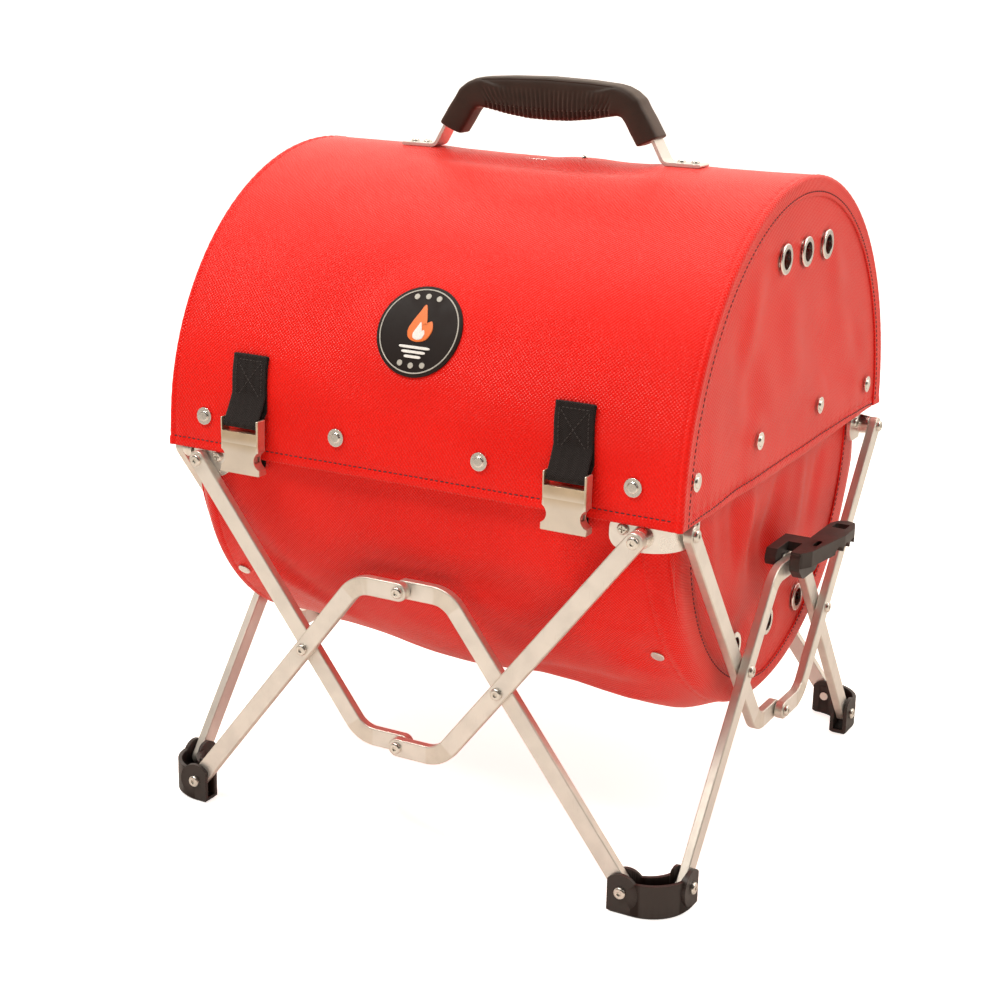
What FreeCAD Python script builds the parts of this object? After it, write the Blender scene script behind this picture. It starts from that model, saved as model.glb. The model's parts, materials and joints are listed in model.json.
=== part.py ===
import FreeCAD, Part
import math
import os

from FreeCAD import Vector

# Portable grill on a collapsible stand. Millimetres, +Z up, origin on the ground under the centre.
# The stand is square in plan. Its four sides are the same pair of crossed bars turned by 90 degrees,
# so every piece of the stand is drawn once, on the front side, and turned to the other three.

# Driving dimensions: the scissor linkage of one side, seen from outside
PIVOT = 210.0            # half the distance between the two end pivots
FOOT_Z = 20.0            # height of the pivots in the feet
TOP_Z = 317.0            # height of the pivots on the corner brackets
CROSS = 95.0             # half the distance between the two crossing pivots
BEND = 41.4              # half the distance between the bends beside a centre pivot
BEND_RADIUS = 27.5
BAR_WIDTH = 16.0
BAR_THICK = 8.0
BAR_EDGE = 1.2
INNER_LAYER = 235.5      # from the centre of the stand to the inner face of the inner bars
LAYER_GAP = 1.0

# Driving dimensions: pins and screws
PIN = 2.5
FIT = 0.05               # radial clearance of every pin in its hole
HEAD = 5.2
HEAD_TALL = 2.9
TAIL = 4.2
TAIL_TALL = 1.9
GAP = 0.1                # between parts that only rest against each other

# Driving dimensions: corner brackets and feet
BRACKET_IN = 231.0
BRACKET_THICK = 3.5
BRACKET_REACH = 181.0
BRACKET_RADIUS = 30.0
BRACKET_LOW = 304.0
BRACKET_HIGH = 331.0
BRACKET_SCREW = (193.0, 321.0)
SPACER_RADIUS = 8.5
FOOT_END = 198.0
FOOT_TALL = 30.0
FOOT_FLOOR = 5.0
FOOT_HUMP = 15.5

# Driving dimensions: fabric basin and lid
BASIN_HALF = 229.0
BASIN_RIM = 331.0
BASIN_DEEP = 214.0
BASIN_CORNER = 28.0
BASIN_CLOTH = 2.5
LID_HALF = 243.0
LID_RADIUS = 237.5
LID_AXIS_Z = 335.0
LID_RIM = 333.5
LID_CLOTH = 2.0
HINGE_Y = 240.0
HINGE_Z = 334.0

# Worked out
SLOPE = (TOP_Z - FOOT_Z) / 2 / (PIVOT - CROSS)
CROSS_Z = (TOP_Z + FOOT_Z) / 2
RISE = (CROSS - BEND) * SLOPE
UPPER_Z = CROSS_Z + RISE
LOWER_Z = CROSS_Z - RISE
INNER_FACE = INNER_LAYER + BAR_THICK
OUTER_LAYER = INNER_FACE + LAYER_GAP
OUTER_FACE = OUTER_LAYER + BAR_THICK
BRACKET_OUT = BRACKET_IN + BRACKET_THICK

SIDES = ("front", "right", "back", "left")
CORNERS = ("front_right", "back_right", "back_left", "front_left")
CENTRE = Vector(0, 0, 0)
X = Vector(1, 0, 0)
Y = Vector(0, 1, 0)
Z = Vector(0, 0, 1)

os.makedirs("parts", exist_ok=True)


# Helpers

def save(name, solids):
    """Write one piece, or a group of separate solids, as one file."""
    shape = solids[0] if len(solids) == 1 else Part.makeCompound(solids)
    shape.exportStep("parts/" + name + ".step")


def turned(shape, quarter):
    """The same shape on another side of the stand."""
    copy = shape.copy()
    copy.rotate(CENTRE, Z, 90 * quarter)
    return copy


def mirrored_x(shape):
    return shape.mirror(CENTRE, X)


def outline(corners):
    """Closed wire in the XZ plane through (x, z, radius) corners, each rounded to its radius."""
    points = [Vector(x, 0, z) for x, z, _ in corners]
    edges = []
    last = None
    first = None
    for i, (_, _, radius) in enumerate(corners):
        here = points[i]
        back = (points[i - 1] - here).normalize()
        ahead = (points[(i + 1) % len(points)] - here).normalize()
        half = math.acos(max(-1.0, min(1.0, back.dot(ahead)))) / 2
        reach = radius / math.tan(half)
        start = here + back * reach
        end = here + ahead * reach
        if last is not None:
            edges.append(Part.makeLine(last, start))
        if radius > 0:
            middle = (back + ahead).normalize()
            far = here + middle * (radius / math.sin(half) - radius)
            edges.append(Part.Arc(start, far, end).toShape())
        first = first or start
        last = end
    edges.append(Part.makeLine(last, first))
    return Part.Wire(edges)


def slab(wire, near, far):
    """Fill an XZ wire and extrude it from one distance in front of the centre to another."""
    face = Part.Face(wire)
    face.translate(Vector(0, -near, 0))
    return face.extrude(Vector(0, near - far, 0))


def path(points, radius):
    """Open XZ wire through the points, with its inner corners rounded."""
    edges = []
    last = points[0]
    for i in range(1, len(points) - 1):
        here = points[i]
        back = (points[i - 1] - here).normalize()
        ahead = (points[i + 1] - here).normalize()
        half = math.acos(back.dot(ahead)) / 2
        start = here + back * (radius / math.tan(half))
        end = here + ahead * (radius / math.tan(half))
        middle = (back + ahead).normalize()
        far = here + middle * (radius / math.sin(half) - radius)
        edges.append(Part.makeLine(last, start))
        edges.append(Part.Arc(start, far, end).toShape())
        last = end
    edges.append(Part.makeLine(last, points[-1]))
    return Part.Wire(edges)


def strip(points, radius, width, near, far):
    """Flat strip with round ends that follows the points in the XZ plane."""
    around = path(points, radius).makeOffset2D(width / 2, 0, False, False)
    return slab(around, near, far)


def drill(u, z, radius, near, far):
    """Cylinder that points outwards from the front side at one place."""
    return Part.makeCylinder(radius, far - near, Vector(u, -near, z), Vector(0, -1, 0))


def rounded(solid, radius, choose):
    """Fillet the edges that choose() picks."""
    edges = [e for e in solid.Edges if choose(e)]
    return solid.makeFillet(radius, edges)


def flat_at(y, reach=0.01):
    """Picks edges that lie wholly in one plane of constant y."""
    return lambda e: all(abs(v.Point.y - y) < reach for v in e.Vertexes)


def domed_head(u, z, near, radius, tall):
    """Round head on the front side, domed outwards, with a round dimple in its middle."""
    head = drill(u, z, radius, near, near + tall)
    head = rounded(head, tall * 0.62, flat_at(-near - tall))
    socket = drill(u, z, radius * 0.36, near + tall * 0.6, near + tall + 1)
    head = head.cut(socket)
    return head


def pin(u, z, tail, near, far):
    """Riveted pin: a tail from one depth, a shank through the bars and a domed head."""
    shank = drill(u, z, PIN, tail, far + 0.2)
    head = domed_head(u, z, far, HEAD, HEAD_TALL)
    body = shank.fuse(head)
    if near > tail:
        body = body.fuse(drill(u, z, TAIL, tail, near))
    return body.removeSplitter()


# The crossed bars of one side

def bar(side_sign, from_top, layer):
    """One bar: from an end pivot through its crossing to a centre pivot, bent flat near the end."""
    step = 1 if from_top else -1
    end = Vector(side_sign * PIVOT, 0, CROSS_Z + step * (TOP_Z - CROSS_Z))
    centre_z = LOWER_Z if from_top else UPPER_Z
    bend = Vector(side_sign * BEND, 0, centre_z)
    centre = Vector(0, 0, centre_z)
    solid = strip([end, bend, centre], BEND_RADIUS, BAR_WIDTH, layer, layer + BAR_THICK)
    faces = (-layer, -layer - BAR_THICK)
    solid = rounded(solid, BAR_EDGE, lambda e: flat_at(faces[0])(e) or flat_at(faces[1])(e))
    for u, z in ((end.x, end.z), (side_sign * CROSS, CROSS_Z), (0, centre_z)):
        solid = solid.cut(drill(u, z, PIN + FIT, layer - 1, layer + BAR_THICK + 1))
    return solid


BARS = {
    "brace_inner": bar(-1, True, INNER_LAYER),
    "leg_outer": bar(-1, False, OUTER_LAYER),
    "brace_outer": bar(1, True, OUTER_LAYER),
    "leg_inner": bar(1, False, INNER_LAYER),
}
TAIL_IN = INNER_LAYER - GAP - TAIL_TALL
HEAD_AT = OUTER_FACE + GAP
PIN_NEAR = INNER_LAYER - GAP
LEVER_BORE = 262.0

crossing_left = pin(-CROSS, CROSS_Z, TAIL_IN, PIN_NEAR, HEAD_AT)
crossing_right = pin(CROSS, CROSS_Z, TAIL_IN, PIN_NEAR, HEAD_AT)
lower_centre = pin(0, LOWER_Z, TAIL_IN, PIN_NEAR, HEAD_AT)
upper_centre = pin(0, UPPER_Z, TAIL_IN, PIN_NEAR, HEAD_AT)
upper_long = drill(0, UPPER_Z, PIN, TAIL_IN, LEVER_BORE).fuse(drill(0, UPPER_Z, TAIL, TAIL_IN, PIN_NEAR))

for quarter, side in enumerate(SIDES):
    for name, solid in BARS.items():
        save(side + "_" + name, [turned(solid, quarter)])
    centre_pin = upper_long if side in ("right", "left") else upper_centre
    save(side + "_brace_rivets", [turned(s, quarter) for s in (crossing_left, lower_centre)])
    save(side + "_leg_rivets", [turned(s, quarter) for s in (crossing_right, centre_pin)])


# Corner bracket: a bent aluminium plate, drawn for the front right corner

def to_other_leg(shape):
    """Swap the two legs of the front right corner: mirror in the plane x = -y."""
    return shape.mirror(CENTRE, Vector(1, 1, 0))


def corner_band(reach, inside, outside, bend, low, high):
    """Plate bent round the corner, with the same bend centre inside and outside."""
    hub = outside - bend
    inner = bend - (outside - inside)
    diagonal = math.sqrt(0.5)

    def wire_points(distance, radius):
        return (Vector(reach, -distance, low), Vector(hub, -distance, low),
                Vector(hub + radius * diagonal, -hub - radius * diagonal, low),
                Vector(distance, -hub, low), Vector(distance, -reach, low))

    a, b, c, d, e = wire_points(outside, bend)
    p, q, r, s, t = wire_points(inside, inner)
    wire = Part.Wire([
        Part.makeLine(a, b), Part.Arc(b, c, d).toShape(), Part.makeLine(d, e), Part.makeLine(e, t),
        Part.makeLine(t, s), Part.Arc(s, r, q).toShape(), Part.makeLine(q, p), Part.makeLine(p, a)])
    return Part.Face(wire).extrude(Vector(0, 0, high - low))


def corner_bracket():
    plate = corner_band(BRACKET_REACH, BRACKET_IN, BRACKET_OUT, BRACKET_RADIUS, BRACKET_LOW, BRACKET_HIGH)

    def at_the_ends(edge):
        box = edge.BoundBox
        front = box.XLength < 0.01 and abs(box.XMin - BRACKET_REACH) < 0.01
        side = box.YLength < 0.01 and abs(box.YMin + BRACKET_REACH) < 0.01
        return box.ZLength < 0.01 and (front or side)

    plate = rounded(plate, 11.0, at_the_ends)
    u, z = BRACKET_SCREW
    holes = [drill(PIVOT, TOP_Z, PIN + FIT, BRACKET_IN - 1, BRACKET_OUT + 1),
             drill(u, z, 2.2, BRACKET_IN - 1, BRACKET_OUT + 1)]
    for hole in holes:
        plate = plate.cut(hole).cut(to_other_leg(hole))
    return plate


def cross_screw(u, z, near):
    """Pan head screw with a cross recess."""
    head = drill(u, z, 4.8, near, near + 2.8)
    head = rounded(head, 1.9, flat_at(-near - 2.8))
    for length, width in ((5.2, 1.3), (1.3, 5.2)):
        recess = Part.makeBox(length, 2.0, width, Vector(u - length / 2, -near - 3.2, z - width / 2))
        head = head.cut(recess)
    return head.fuse(drill(u, z, 2.0, BASIN_HALF + 0.6, near + 0.1)).removeSplitter()


def spacer():
    near = BRACKET_OUT + GAP
    far = OUTER_LAYER - GAP
    cone = Part.makeCone(SPACER_RADIUS + 0.7, SPACER_RADIUS - 0.5, far - near,
                         Vector(PIVOT, -near, TOP_Z), Vector(0, -1, 0))
    return cone.cut(drill(PIVOT, TOP_Z, PIN + FIT, near - 1, far + 1))


bracket_solids = [corner_bracket()]
screw_at_front = cross_screw(*BRACKET_SCREW, BRACKET_OUT + GAP)
spacer_pin = pin(PIVOT, TOP_Z, BRACKET_IN, BRACKET_IN, HEAD_AT)
direct_pin = to_other_leg(pin(PIVOT, TOP_Z, BRACKET_IN, BRACKET_IN, INNER_FACE + GAP))
bracket_fixings = [spacer(), spacer_pin, direct_pin, screw_at_front, to_other_leg(screw_at_front)]


# Foot: a moulded quarter ring that holds one inner and one outer bar end

def foot_ring(front_out, side_out, bulge, front_in, side_in, hollow, low, high):
    """Quarter ring in plan: a round outer wall and a hollow inner wall."""
    diagonal = math.sqrt(0.5)
    end = FOOT_END
    ax = side_out - bulge
    ay = front_out - bulge
    bx = side_in - hollow
    by = front_in - hollow
    outer = [Vector(end, -front_out, low), Vector(ax, -front_out, low),
             Vector(ax + bulge * diagonal, -ay - bulge * diagonal, low),
             Vector(side_out, -ay, low), Vector(side_out, -end, low)]
    inner = [Vector(side_in, -end, low), Vector(side_in, -by, low),
             Vector(bx + hollow * diagonal, -by - hollow * diagonal, low),
             Vector(bx, -front_in, low), Vector(end, -front_in, low)]
    wire = Part.Wire([
        Part.makeLine(outer[0], outer[1]), Part.Arc(outer[1], outer[2], outer[3]).toShape(),
        Part.makeLine(outer[3], outer[4]), Part.makeLine(outer[4], inner[0]),
        Part.makeLine(inner[0], inner[1]), Part.Arc(inner[1], inner[2], inner[3]).toShape(),
        Part.makeLine(inner[3], inner[4]), Part.makeLine(inner[4], outer[0])])
    return Part.Face(wire).extrude(Vector(0, 0, high - low))


FOOT_WALL = 3.5
TAIL_ROOM = 0.5
FLAT_DEEP = 12.0
FRONT_WALL_OUT = INNER_FACE + LAYER_GAP + FOOT_WALL
SIDE_WALL_OUT = OUTER_FACE + LAYER_GAP + FOOT_WALL
FRONT_WALL_IN = INNER_LAYER - LAYER_GAP - FOOT_WALL
SIDE_WALL_IN = OUTER_LAYER - LAYER_GAP - FOOT_WALL


def foot():
    """Drawn for the front right corner: the inner bar at the front, the outer bar at the side."""
    solid = foot_ring(FRONT_WALL_OUT, SIDE_WALL_OUT, 38.0, FRONT_WALL_IN, SIDE_WALL_IN, 28.0, 0, FOOT_TALL)
    bottom = [e for e in solid.Edges if abs(e.BoundBox.ZMax) < 0.01]
    solid = solid.makeChamfer(2.5, bottom)
    # raised round lugs on both walls at each pivot
    for near, far, swap in ((FRONT_WALL_IN, FRONT_WALL_OUT, False), (SIDE_WALL_IN, SIDE_WALL_OUT, True)):
        lug = drill(PIVOT, FOOT_Z, FOOT_HUMP, near, far)
        keep = Part.makeBox(60, 60, 60, Vector(FOOT_END, -290, 3.0))
        lug = lug.common(keep)
        solid = solid.fuse(to_other_leg(lug) if swap else lug)
    channel = foot_ring(FRONT_WALL_OUT - FOOT_WALL, SIDE_WALL_OUT - FOOT_WALL, 34.5,
                        FRONT_WALL_IN + FOOT_WALL, SIDE_WALL_IN + FOOT_WALL, 31.5, FOOT_FLOOR, 60)
    solid = solid.cut(channel)
    # stiffening ribs across the channel, clear of both bar ends
    for angle in (-62, -45, -28):
        rib = Part.makeBox(26, 2.6, 21, Vector(0, -1.3, FOOT_FLOOR - 0.5))
        rib.rotate(CENTRE, Z, angle)
        rib.translate(Vector(215.5, -206.5, 0))
        inside = foot_ring(FRONT_WALL_OUT - 2, SIDE_WALL_OUT - 2, 36.0,
                           FRONT_WALL_IN + 2, SIDE_WALL_IN + 2, 30.0, FOOT_FLOOR - 1, 60)
        solid = solid.fuse(rib.common(inside))
    # holes for the two pins, with a flat spot for each tail inside the curved inner wall
    for near, far, swap in ((FRONT_WALL_IN, FRONT_WALL_OUT, False), (SIDE_WALL_IN, SIDE_WALL_OUT, True)):
        hole = drill(PIVOT, FOOT_Z, PIN + FIT, near - 1, far + 1)
        flat = drill(PIVOT, FOOT_Z, TAIL + TAIL_ROOM, near - FLAT_DEEP, near)
        bore = hole.fuse(flat)
        solid = solid.cut(to_other_leg(bore) if swap else bore)
    return solid.removeSplitter()


foot_solid = foot()
front_foot_pin = pin(PIVOT, FOOT_Z, FRONT_WALL_IN - GAP - TAIL_TALL, FRONT_WALL_IN - GAP, FRONT_WALL_OUT + GAP)
side_foot_pin = to_other_leg(
    pin(PIVOT, FOOT_Z, SIDE_WALL_IN - GAP - TAIL_TALL, SIDE_WALL_IN - GAP, SIDE_WALL_OUT + GAP))

for quarter, corner in enumerate(CORNERS):
    save(corner + "_bracket", [turned(bracket_solids[0], quarter)])
    save(corner + "_bracket_fixings", [turned(s, quarter) for s in bracket_fixings])
    save(corner + "_foot", [turned(foot_solid, quarter)])
    save(corner + "_foot_rivets", [turned(s, quarter) for s in (front_foot_pin, side_foot_pin)])


# Fold lever on the upper centre pivot of both ends, drawn on the front side

LEVER_SWEEP = 29.5       # nothing of the lever in the bars' layers reaches further from its pivot
LEVER_BACK = 233.5
LEVER_FACE = 256.4
LEVER_EDGE = 281.0
LEVER_TOP = UPPER_Z + 18.0
LEVER_UNDER = UPPER_Z + 9.5


def lever():
    nose = slab(outline([
        (-27, LEVER_TOP, 6), (30, LEVER_TOP, 0.5), (30, LEVER_TOP - 16, 4), (16, UPPER_Z - 8, 9),
        (-16, UPPER_Z - 8, 9), (-27, UPPER_Z + 2, 6)]), LEVER_FACE, LEVER_FACE + 9)
    # the arm with its skirt, a plan outline extruded upwards
    plan = [(-26, LEVER_FACE), (-26, 266), (-14, 272), (20, 277), (46, LEVER_EDGE), (72, LEVER_EDGE),
            (87, 276), (90, 268), (87, 261), (76, LEVER_FACE)]
    edges = Part.makePolygon([Vector(u, -d, LEVER_TOP - 14) for u, d in plan + plan[:1]])
    arm = Part.Face(edges).extrude(Vector(0, 0, 14))
    arm = rounded(arm, 4.0, lambda e: e.BoundBox.ZLength > 13 and e.BoundBox.YMin < -260)
    hollow = Part.makeBox(60, 13, 20, Vector(22, -LEVER_FACE - 16.5, LEVER_TOP - 26))
    arm = arm.cut(hollow)
    for n in range(3):
        finger = Part.makeCylinder(7.5, 60, Vector(36 + 15.5 * n, -240, LEVER_TOP - 15.5), Vector(0, -1, 0))
        arm = arm.cut(finger)
    # the bridge over the bars and the block behind the nose, both inside the swept circle
    sweep = drill(0, UPPER_Z, LEVER_SWEEP, 232, LEVER_FACE + 1)
    bridge = Part.makeBox(30, LEVER_FACE + 0.5 - LEVER_BACK, LEVER_TOP - LEVER_UNDER,
                          Vector(3, -LEVER_FACE - 0.5, LEVER_UNDER)).common(sweep)
    block = slab(outline([(-27, LEVER_TOP, 1), (10, LEVER_TOP, 0.5), (10, LEVER_UNDER, 0.5),
                          (-9.6, LEVER_UNDER, 0.5), (-9.6, UPPER_Z + 2.5, 2), (-27, UPPER_Z + 2.5, 6)]),
                 LEVER_BACK, INNER_FACE).common(sweep)
    solid = nose.fuse(arm).fuse(bridge).fuse(block)
    slot = Part.makeBox(16, 4.4, 20, Vector(2, -LEVER_FACE - 13.5, LEVER_TOP - 5))
    slot = rounded(slot, 2.1, lambda e: e.BoundBox.ZLength > 19)
    window = Part.makeBox(14, 13, 40, Vector(64, -LEVER_FACE - 18, LEVER_TOP - 20))
    window = rounded(window, 2.0, lambda e: e.BoundBox.ZLength > 39)
    solid = solid.cut(slot).cut(window)
    bore = drill(0, UPPER_Z, PIN + FIT, 230, LEVER_BORE + 0.3)
    return solid.cut(bore).removeSplitter()


lever_solid = lever()
save("right_fold_lever", [turned(lever_solid, 1)])
save("left_fold_lever", [turned(lever_solid, 3)])


# Fabric basin: an elliptical trough with flat ends, open at the top

def trough(half, wide, deep, top):
    """Half ellipse under the rim, extruded along X."""
    ellipse = Part.Ellipse(CENTRE, wide, deep)
    arc = Part.ArcOfEllipse(ellipse, math.pi, 2 * math.pi).toShape()
    lid = Part.makeLine(Vector(wide, 0, 0), Vector(-wide, 0, 0))
    face = Part.Face(Part.Wire([arc, lid]))
    face.rotate(CENTRE, X, 90)
    face.rotate(CENTRE, Z, 90)
    face.translate(Vector(-half, 0, top))
    return face.extrude(Vector(2 * half, 0, 0))


def rounded_block(half, radius, low, high):
    block = Part.makeBox(2 * half, 2 * half, high - low, Vector(-half, -half, low))
    return rounded(block, radius, lambda e: e.BoundBox.ZLength > high - low - 1)


def basin_wall_y(z):
    """Half width of the trough's outer surface at one height."""
    return BASIN_HALF * math.sqrt(1 - ((BASIN_RIM - z) / BASIN_DEEP) ** 2)


VENT_RADIUS = 8.5
VENT_FLANGE = 13.0
BASIN_VENTS = ((-76, 180), (0, 180), (76, 180))
LID_VENTS = ((-48, 510), (2, 510), (52, 510))


def end_holes(places, half):
    return [Part.makeCylinder(VENT_RADIUS + 1.1, 2 * half + 20, Vector(-half - 10, y, z), X) for y, z in places]


def basin():
    outer = trough(BASIN_HALF, BASIN_HALF, BASIN_DEEP, BASIN_RIM)
    inner_half = BASIN_HALF - BASIN_CLOTH
    inner = trough(inner_half, inner_half, BASIN_DEEP - BASIN_CLOTH, BASIN_RIM)
    outer = outer.common(rounded_block(BASIN_HALF, BASIN_CORNER, 50, 400))
    inner = inner.common(rounded_block(inner_half, BASIN_CORNER - BASIN_CLOTH, 50, 400))
    solid = outer.cut(inner)
    for hole in end_holes(BASIN_VENTS, BASIN_HALF):
        solid = solid.cut(hole)
    return solid


def eyelet(face_x, cloth, y, z):
    """Rolled metal ring through the cloth of the right end, with a flange on both faces."""
    tube = Part.makeCylinder(VENT_RADIUS + 0.9, cloth + 3.0, Vector(face_x - cloth - 1.5, y, z), X)
    outside = Part.makeCylinder(VENT_FLANGE, 1.6, Vector(face_x + GAP, y, z), X)
    outside = rounded(outside, 1.2, lambda e: e.BoundBox.XMin > face_x + 1.5)
    inside = Part.makeCylinder(VENT_FLANGE - 1.5, 1.2, Vector(face_x - cloth - GAP - 1.2, y, z), X)
    bore = Part.makeCylinder(VENT_RADIUS, cloth + 12, Vector(face_x - cloth - 6, y, z), X)
    return tube.fuse(outside).fuse(inside).cut(bore).removeSplitter()


def both_ends(solids):
    return solids + [mirrored_x(s) for s in solids]


def bottom_rivet(x, z):
    """Low round rivet head on the front wall of the trough, square to the cloth."""
    y = basin_wall_y(z)
    tilt = math.degrees(math.atan2((BASIN_RIM - z) * BASIN_HALF ** 2, y * BASIN_DEEP ** 2))
    head = Part.makeCylinder(6.0, 1.6, Vector(0, -0.3, 0), Vector(0, -1, 0))
    head = rounded(head, 1.0, flat_at(-1.9))
    head.rotate(CENTRE, X, tilt)
    head.translate(Vector(x, -y, z))
    return head


basin_metal = both_ends([eyelet(BASIN_HALF, BASIN_CLOTH, y, z) for y, z in BASIN_VENTS])
front_rivets = both_ends([bottom_rivet(205, 202)])
save("basin_cover", [basin()])
save("basin_eyelets", basin_metal + front_rivets + [turned(s, 2) for s in front_rivets])

# Sprung steel wire in the rim hem, and the cord in the rear hem that the lid turns on
RIM_WIRE = 2.5
RIM_WIRE_HALF = 221.0
RIM_WIRE_Z = 324.0
HINGE_CORD = 1.5


def rim_wire():
    corner = 24.0
    straight = RIM_WIRE_HALF - corner
    diagonal = corner * math.sqrt(0.5)
    edges = []
    for quarter in range(4):
        a = Vector(-straight, -RIM_WIRE_HALF, RIM_WIRE_Z)
        b = Vector(straight, -RIM_WIRE_HALF, RIM_WIRE_Z)
        c = Vector(straight + diagonal, -straight - diagonal, RIM_WIRE_Z)
        d = Vector(RIM_WIRE_HALF, -straight, RIM_WIRE_Z)
        for edge in (Part.makeLine(a, b), Part.Arc(b, c, d).toShape()):
            edges.append(turned(edge, quarter))
    spine = Part.Wire(Part.__sortEdges__(edges))
    profile = Part.Wire(Part.makeCircle(RIM_WIRE, Vector(0, -RIM_WIRE_HALF, RIM_WIRE_Z), X))
    return spine.makePipeShell([profile], True, False)


hinge_cord = Part.makeCylinder(HINGE_CORD, 340, Vector(-170, HINGE_Y, HINGE_Z), X)
save("rim_wires", [rim_wire(), hinge_cord])


# Fabric lid: a half cylinder with flat ends, open at the bottom

def half_drum(half, radius, low):
    """Half cylinder about X, with a short straight skirt below its axis."""
    drum = Part.makeCylinder(radius, 2 * half, Vector(-half, 0, LID_AXIS_Z), X)
    upper = Part.makeBox(2 * half, 2 * radius, radius + 10, Vector(-half, -radius, LID_AXIS_Z))
    skirt = Part.makeBox(2 * half, 2 * radius, LID_AXIS_Z - low, Vector(-half, -radius, low))
    return drum.common(upper).fuse(skirt).removeSplitter()


TAB_SCREWS = (126.0, 139.0)
RIDGE = LID_AXIS_Z + LID_RADIUS
TAB_THICK = 3.0
HANDLE_WIDE = 20.0


def ridge_holes(radius):
    places = [sign * x for x in TAB_SCREWS for sign in (-1, 1)]
    return [Part.makeCylinder(radius, 40, Vector(x, 0, RIDGE - 20), Z) for x in places]


def lid():
    outer = half_drum(LID_HALF, LID_RADIUS, LID_RIM)
    inner = half_drum(LID_HALF - LID_CLOTH, LID_RADIUS - LID_CLOTH, LID_RIM)
    solid = outer.cut(inner)
    for hole in end_holes(LID_VENTS, LID_HALF) + ridge_holes(2.1):
        solid = solid.cut(hole)
    return solid


def on_lid(shape, angle, radius=LID_RADIUS):
    """Put a shape drawn at the front of the origin onto the lid's front, that many degrees up."""
    copy = shape.copy()
    copy.translate(Vector(0, -radius, 0))
    copy.rotate(CENTRE, X, -angle)
    copy.translate(Vector(0, 0, LID_AXIS_Z))
    return copy


SNAP_ROW = (-205.0, -70.0, 66.0, 201.0)
SNAP_ANGLE = 5.0
END_SNAPS = ((-214.0, 361.0), (-83.0, 365.0), (62.0, 366.0), (193.0, 360.0))


def snap(radius=7.5, tall=2.6):
    """Press stud cap with a raised centre, pointing forwards from the origin."""
    base = Part.makeCylinder(radius, tall * 0.5, Vector(0, -GAP, 0), Vector(0, -1, 0))
    dome = Part.makeCylinder(radius * 0.62, tall, Vector(0, -GAP, 0), Vector(0, -1, 0))
    dome = rounded(dome, tall * 0.45, flat_at(-GAP - tall))
    return base.fuse(dome).removeSplitter()


def lid_snaps():
    solids = []
    for x in SNAP_ROW:
        cap = on_lid(snap(), SNAP_ANGLE)
        cap.translate(Vector(x, 0, 0))
        solids += [cap, turned(cap, 2)]
    for y, z in END_SNAPS:
        cap = turned(snap(), 1)
        cap.translate(Vector(LID_HALF, y, z))
        solids += [cap, mirrored_x(cap)]
    return solids


def sheet_on_lid(inner, outer, low, high, left, right):
    """Piece of a cylinder that lies on the lid's front between two heights."""
    tube = Part.makeCylinder(outer, right - left, Vector(left, 0, LID_AXIS_Z), X)
    tube = tube.cut(Part.makeCylinder(inner, right - left, Vector(left, 0, LID_AXIS_Z), X))
    window = Part.makeBox(right - left, outer, high - low, Vector(left, -outer - 1, low))
    return tube.common(window)


# The round patch on the lid's front
BADGE_RADIUS = 39.0
BADGE_X = -7.0
BADGE_ANGLE = 28.5


def badge():
    ring = sheet_on_lid(LID_RADIUS + 0.2, LID_RADIUS + 1.8, 400, 520, -60, 80)
    disc = Part.makeCylinder(BADGE_RADIUS, 60, Vector(0, 30, 0), Vector(0, -1, 0))
    disc = on_lid(disc, BADGE_ANGLE)
    disc.translate(Vector(BADGE_X, 0, 0))
    return ring.common(disc)


# Spring wire hoops in sleeves inside the lid, and the plate under the handle
HOOP_RADIUS = 229.5
HOOP_WIRE = 1.75


def hoop(x):
    torus = Part.makeTorus(HOOP_RADIUS, HOOP_WIRE, Vector(x, 0, LID_AXIS_Z), X, 0, 360, 360)
    upper = Part.makeBox(10, 500, 260, Vector(x - 5, -250, LID_AXIS_Z))
    return torus.common(upper)


def ridge_plate():
    plate = Part.makeBox(300, 24, 2.6, Vector(-150, -12, RIDGE - LID_CLOTH - 3.2))
    for hole in ridge_holes(2.1):
        plate = plate.cut(hole)
    return plate


save("lid_cover", [lid()])
save("lid_eyelets", both_ends([eyelet(LID_HALF, LID_CLOTH, y, z) for y, z in LID_VENTS]))
save("lid_snaps", lid_snaps())
save("lid_badge", [badge()])
save("lid_hoops", [hoop(x) for x in (-235.0, 0.0, 235.0)])
save("ridge_plate", [ridge_plate()])


# Carrying handle: a bent aluminium strap with a moulded grip

TAB_Z = RIDGE + GAP + TAB_THICK / 2


def handle_spine():
    half = [Vector(146, 0, TAB_Z), Vector(113, 0, TAB_Z), Vector(86, 0, 622)]
    return half + [Vector(-v.x, 0, v.z) for v in reversed(half)]


def handle_strap():
    band = path(handle_spine(), 7.0).makeOffset2D(TAB_THICK / 2, 0, False, False)
    strap = slab(band, -HANDLE_WIDE / 2, HANDLE_WIDE / 2)
    for hole in ridge_holes(2.1):
        strap = strap.cut(hole)
    return strap


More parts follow.
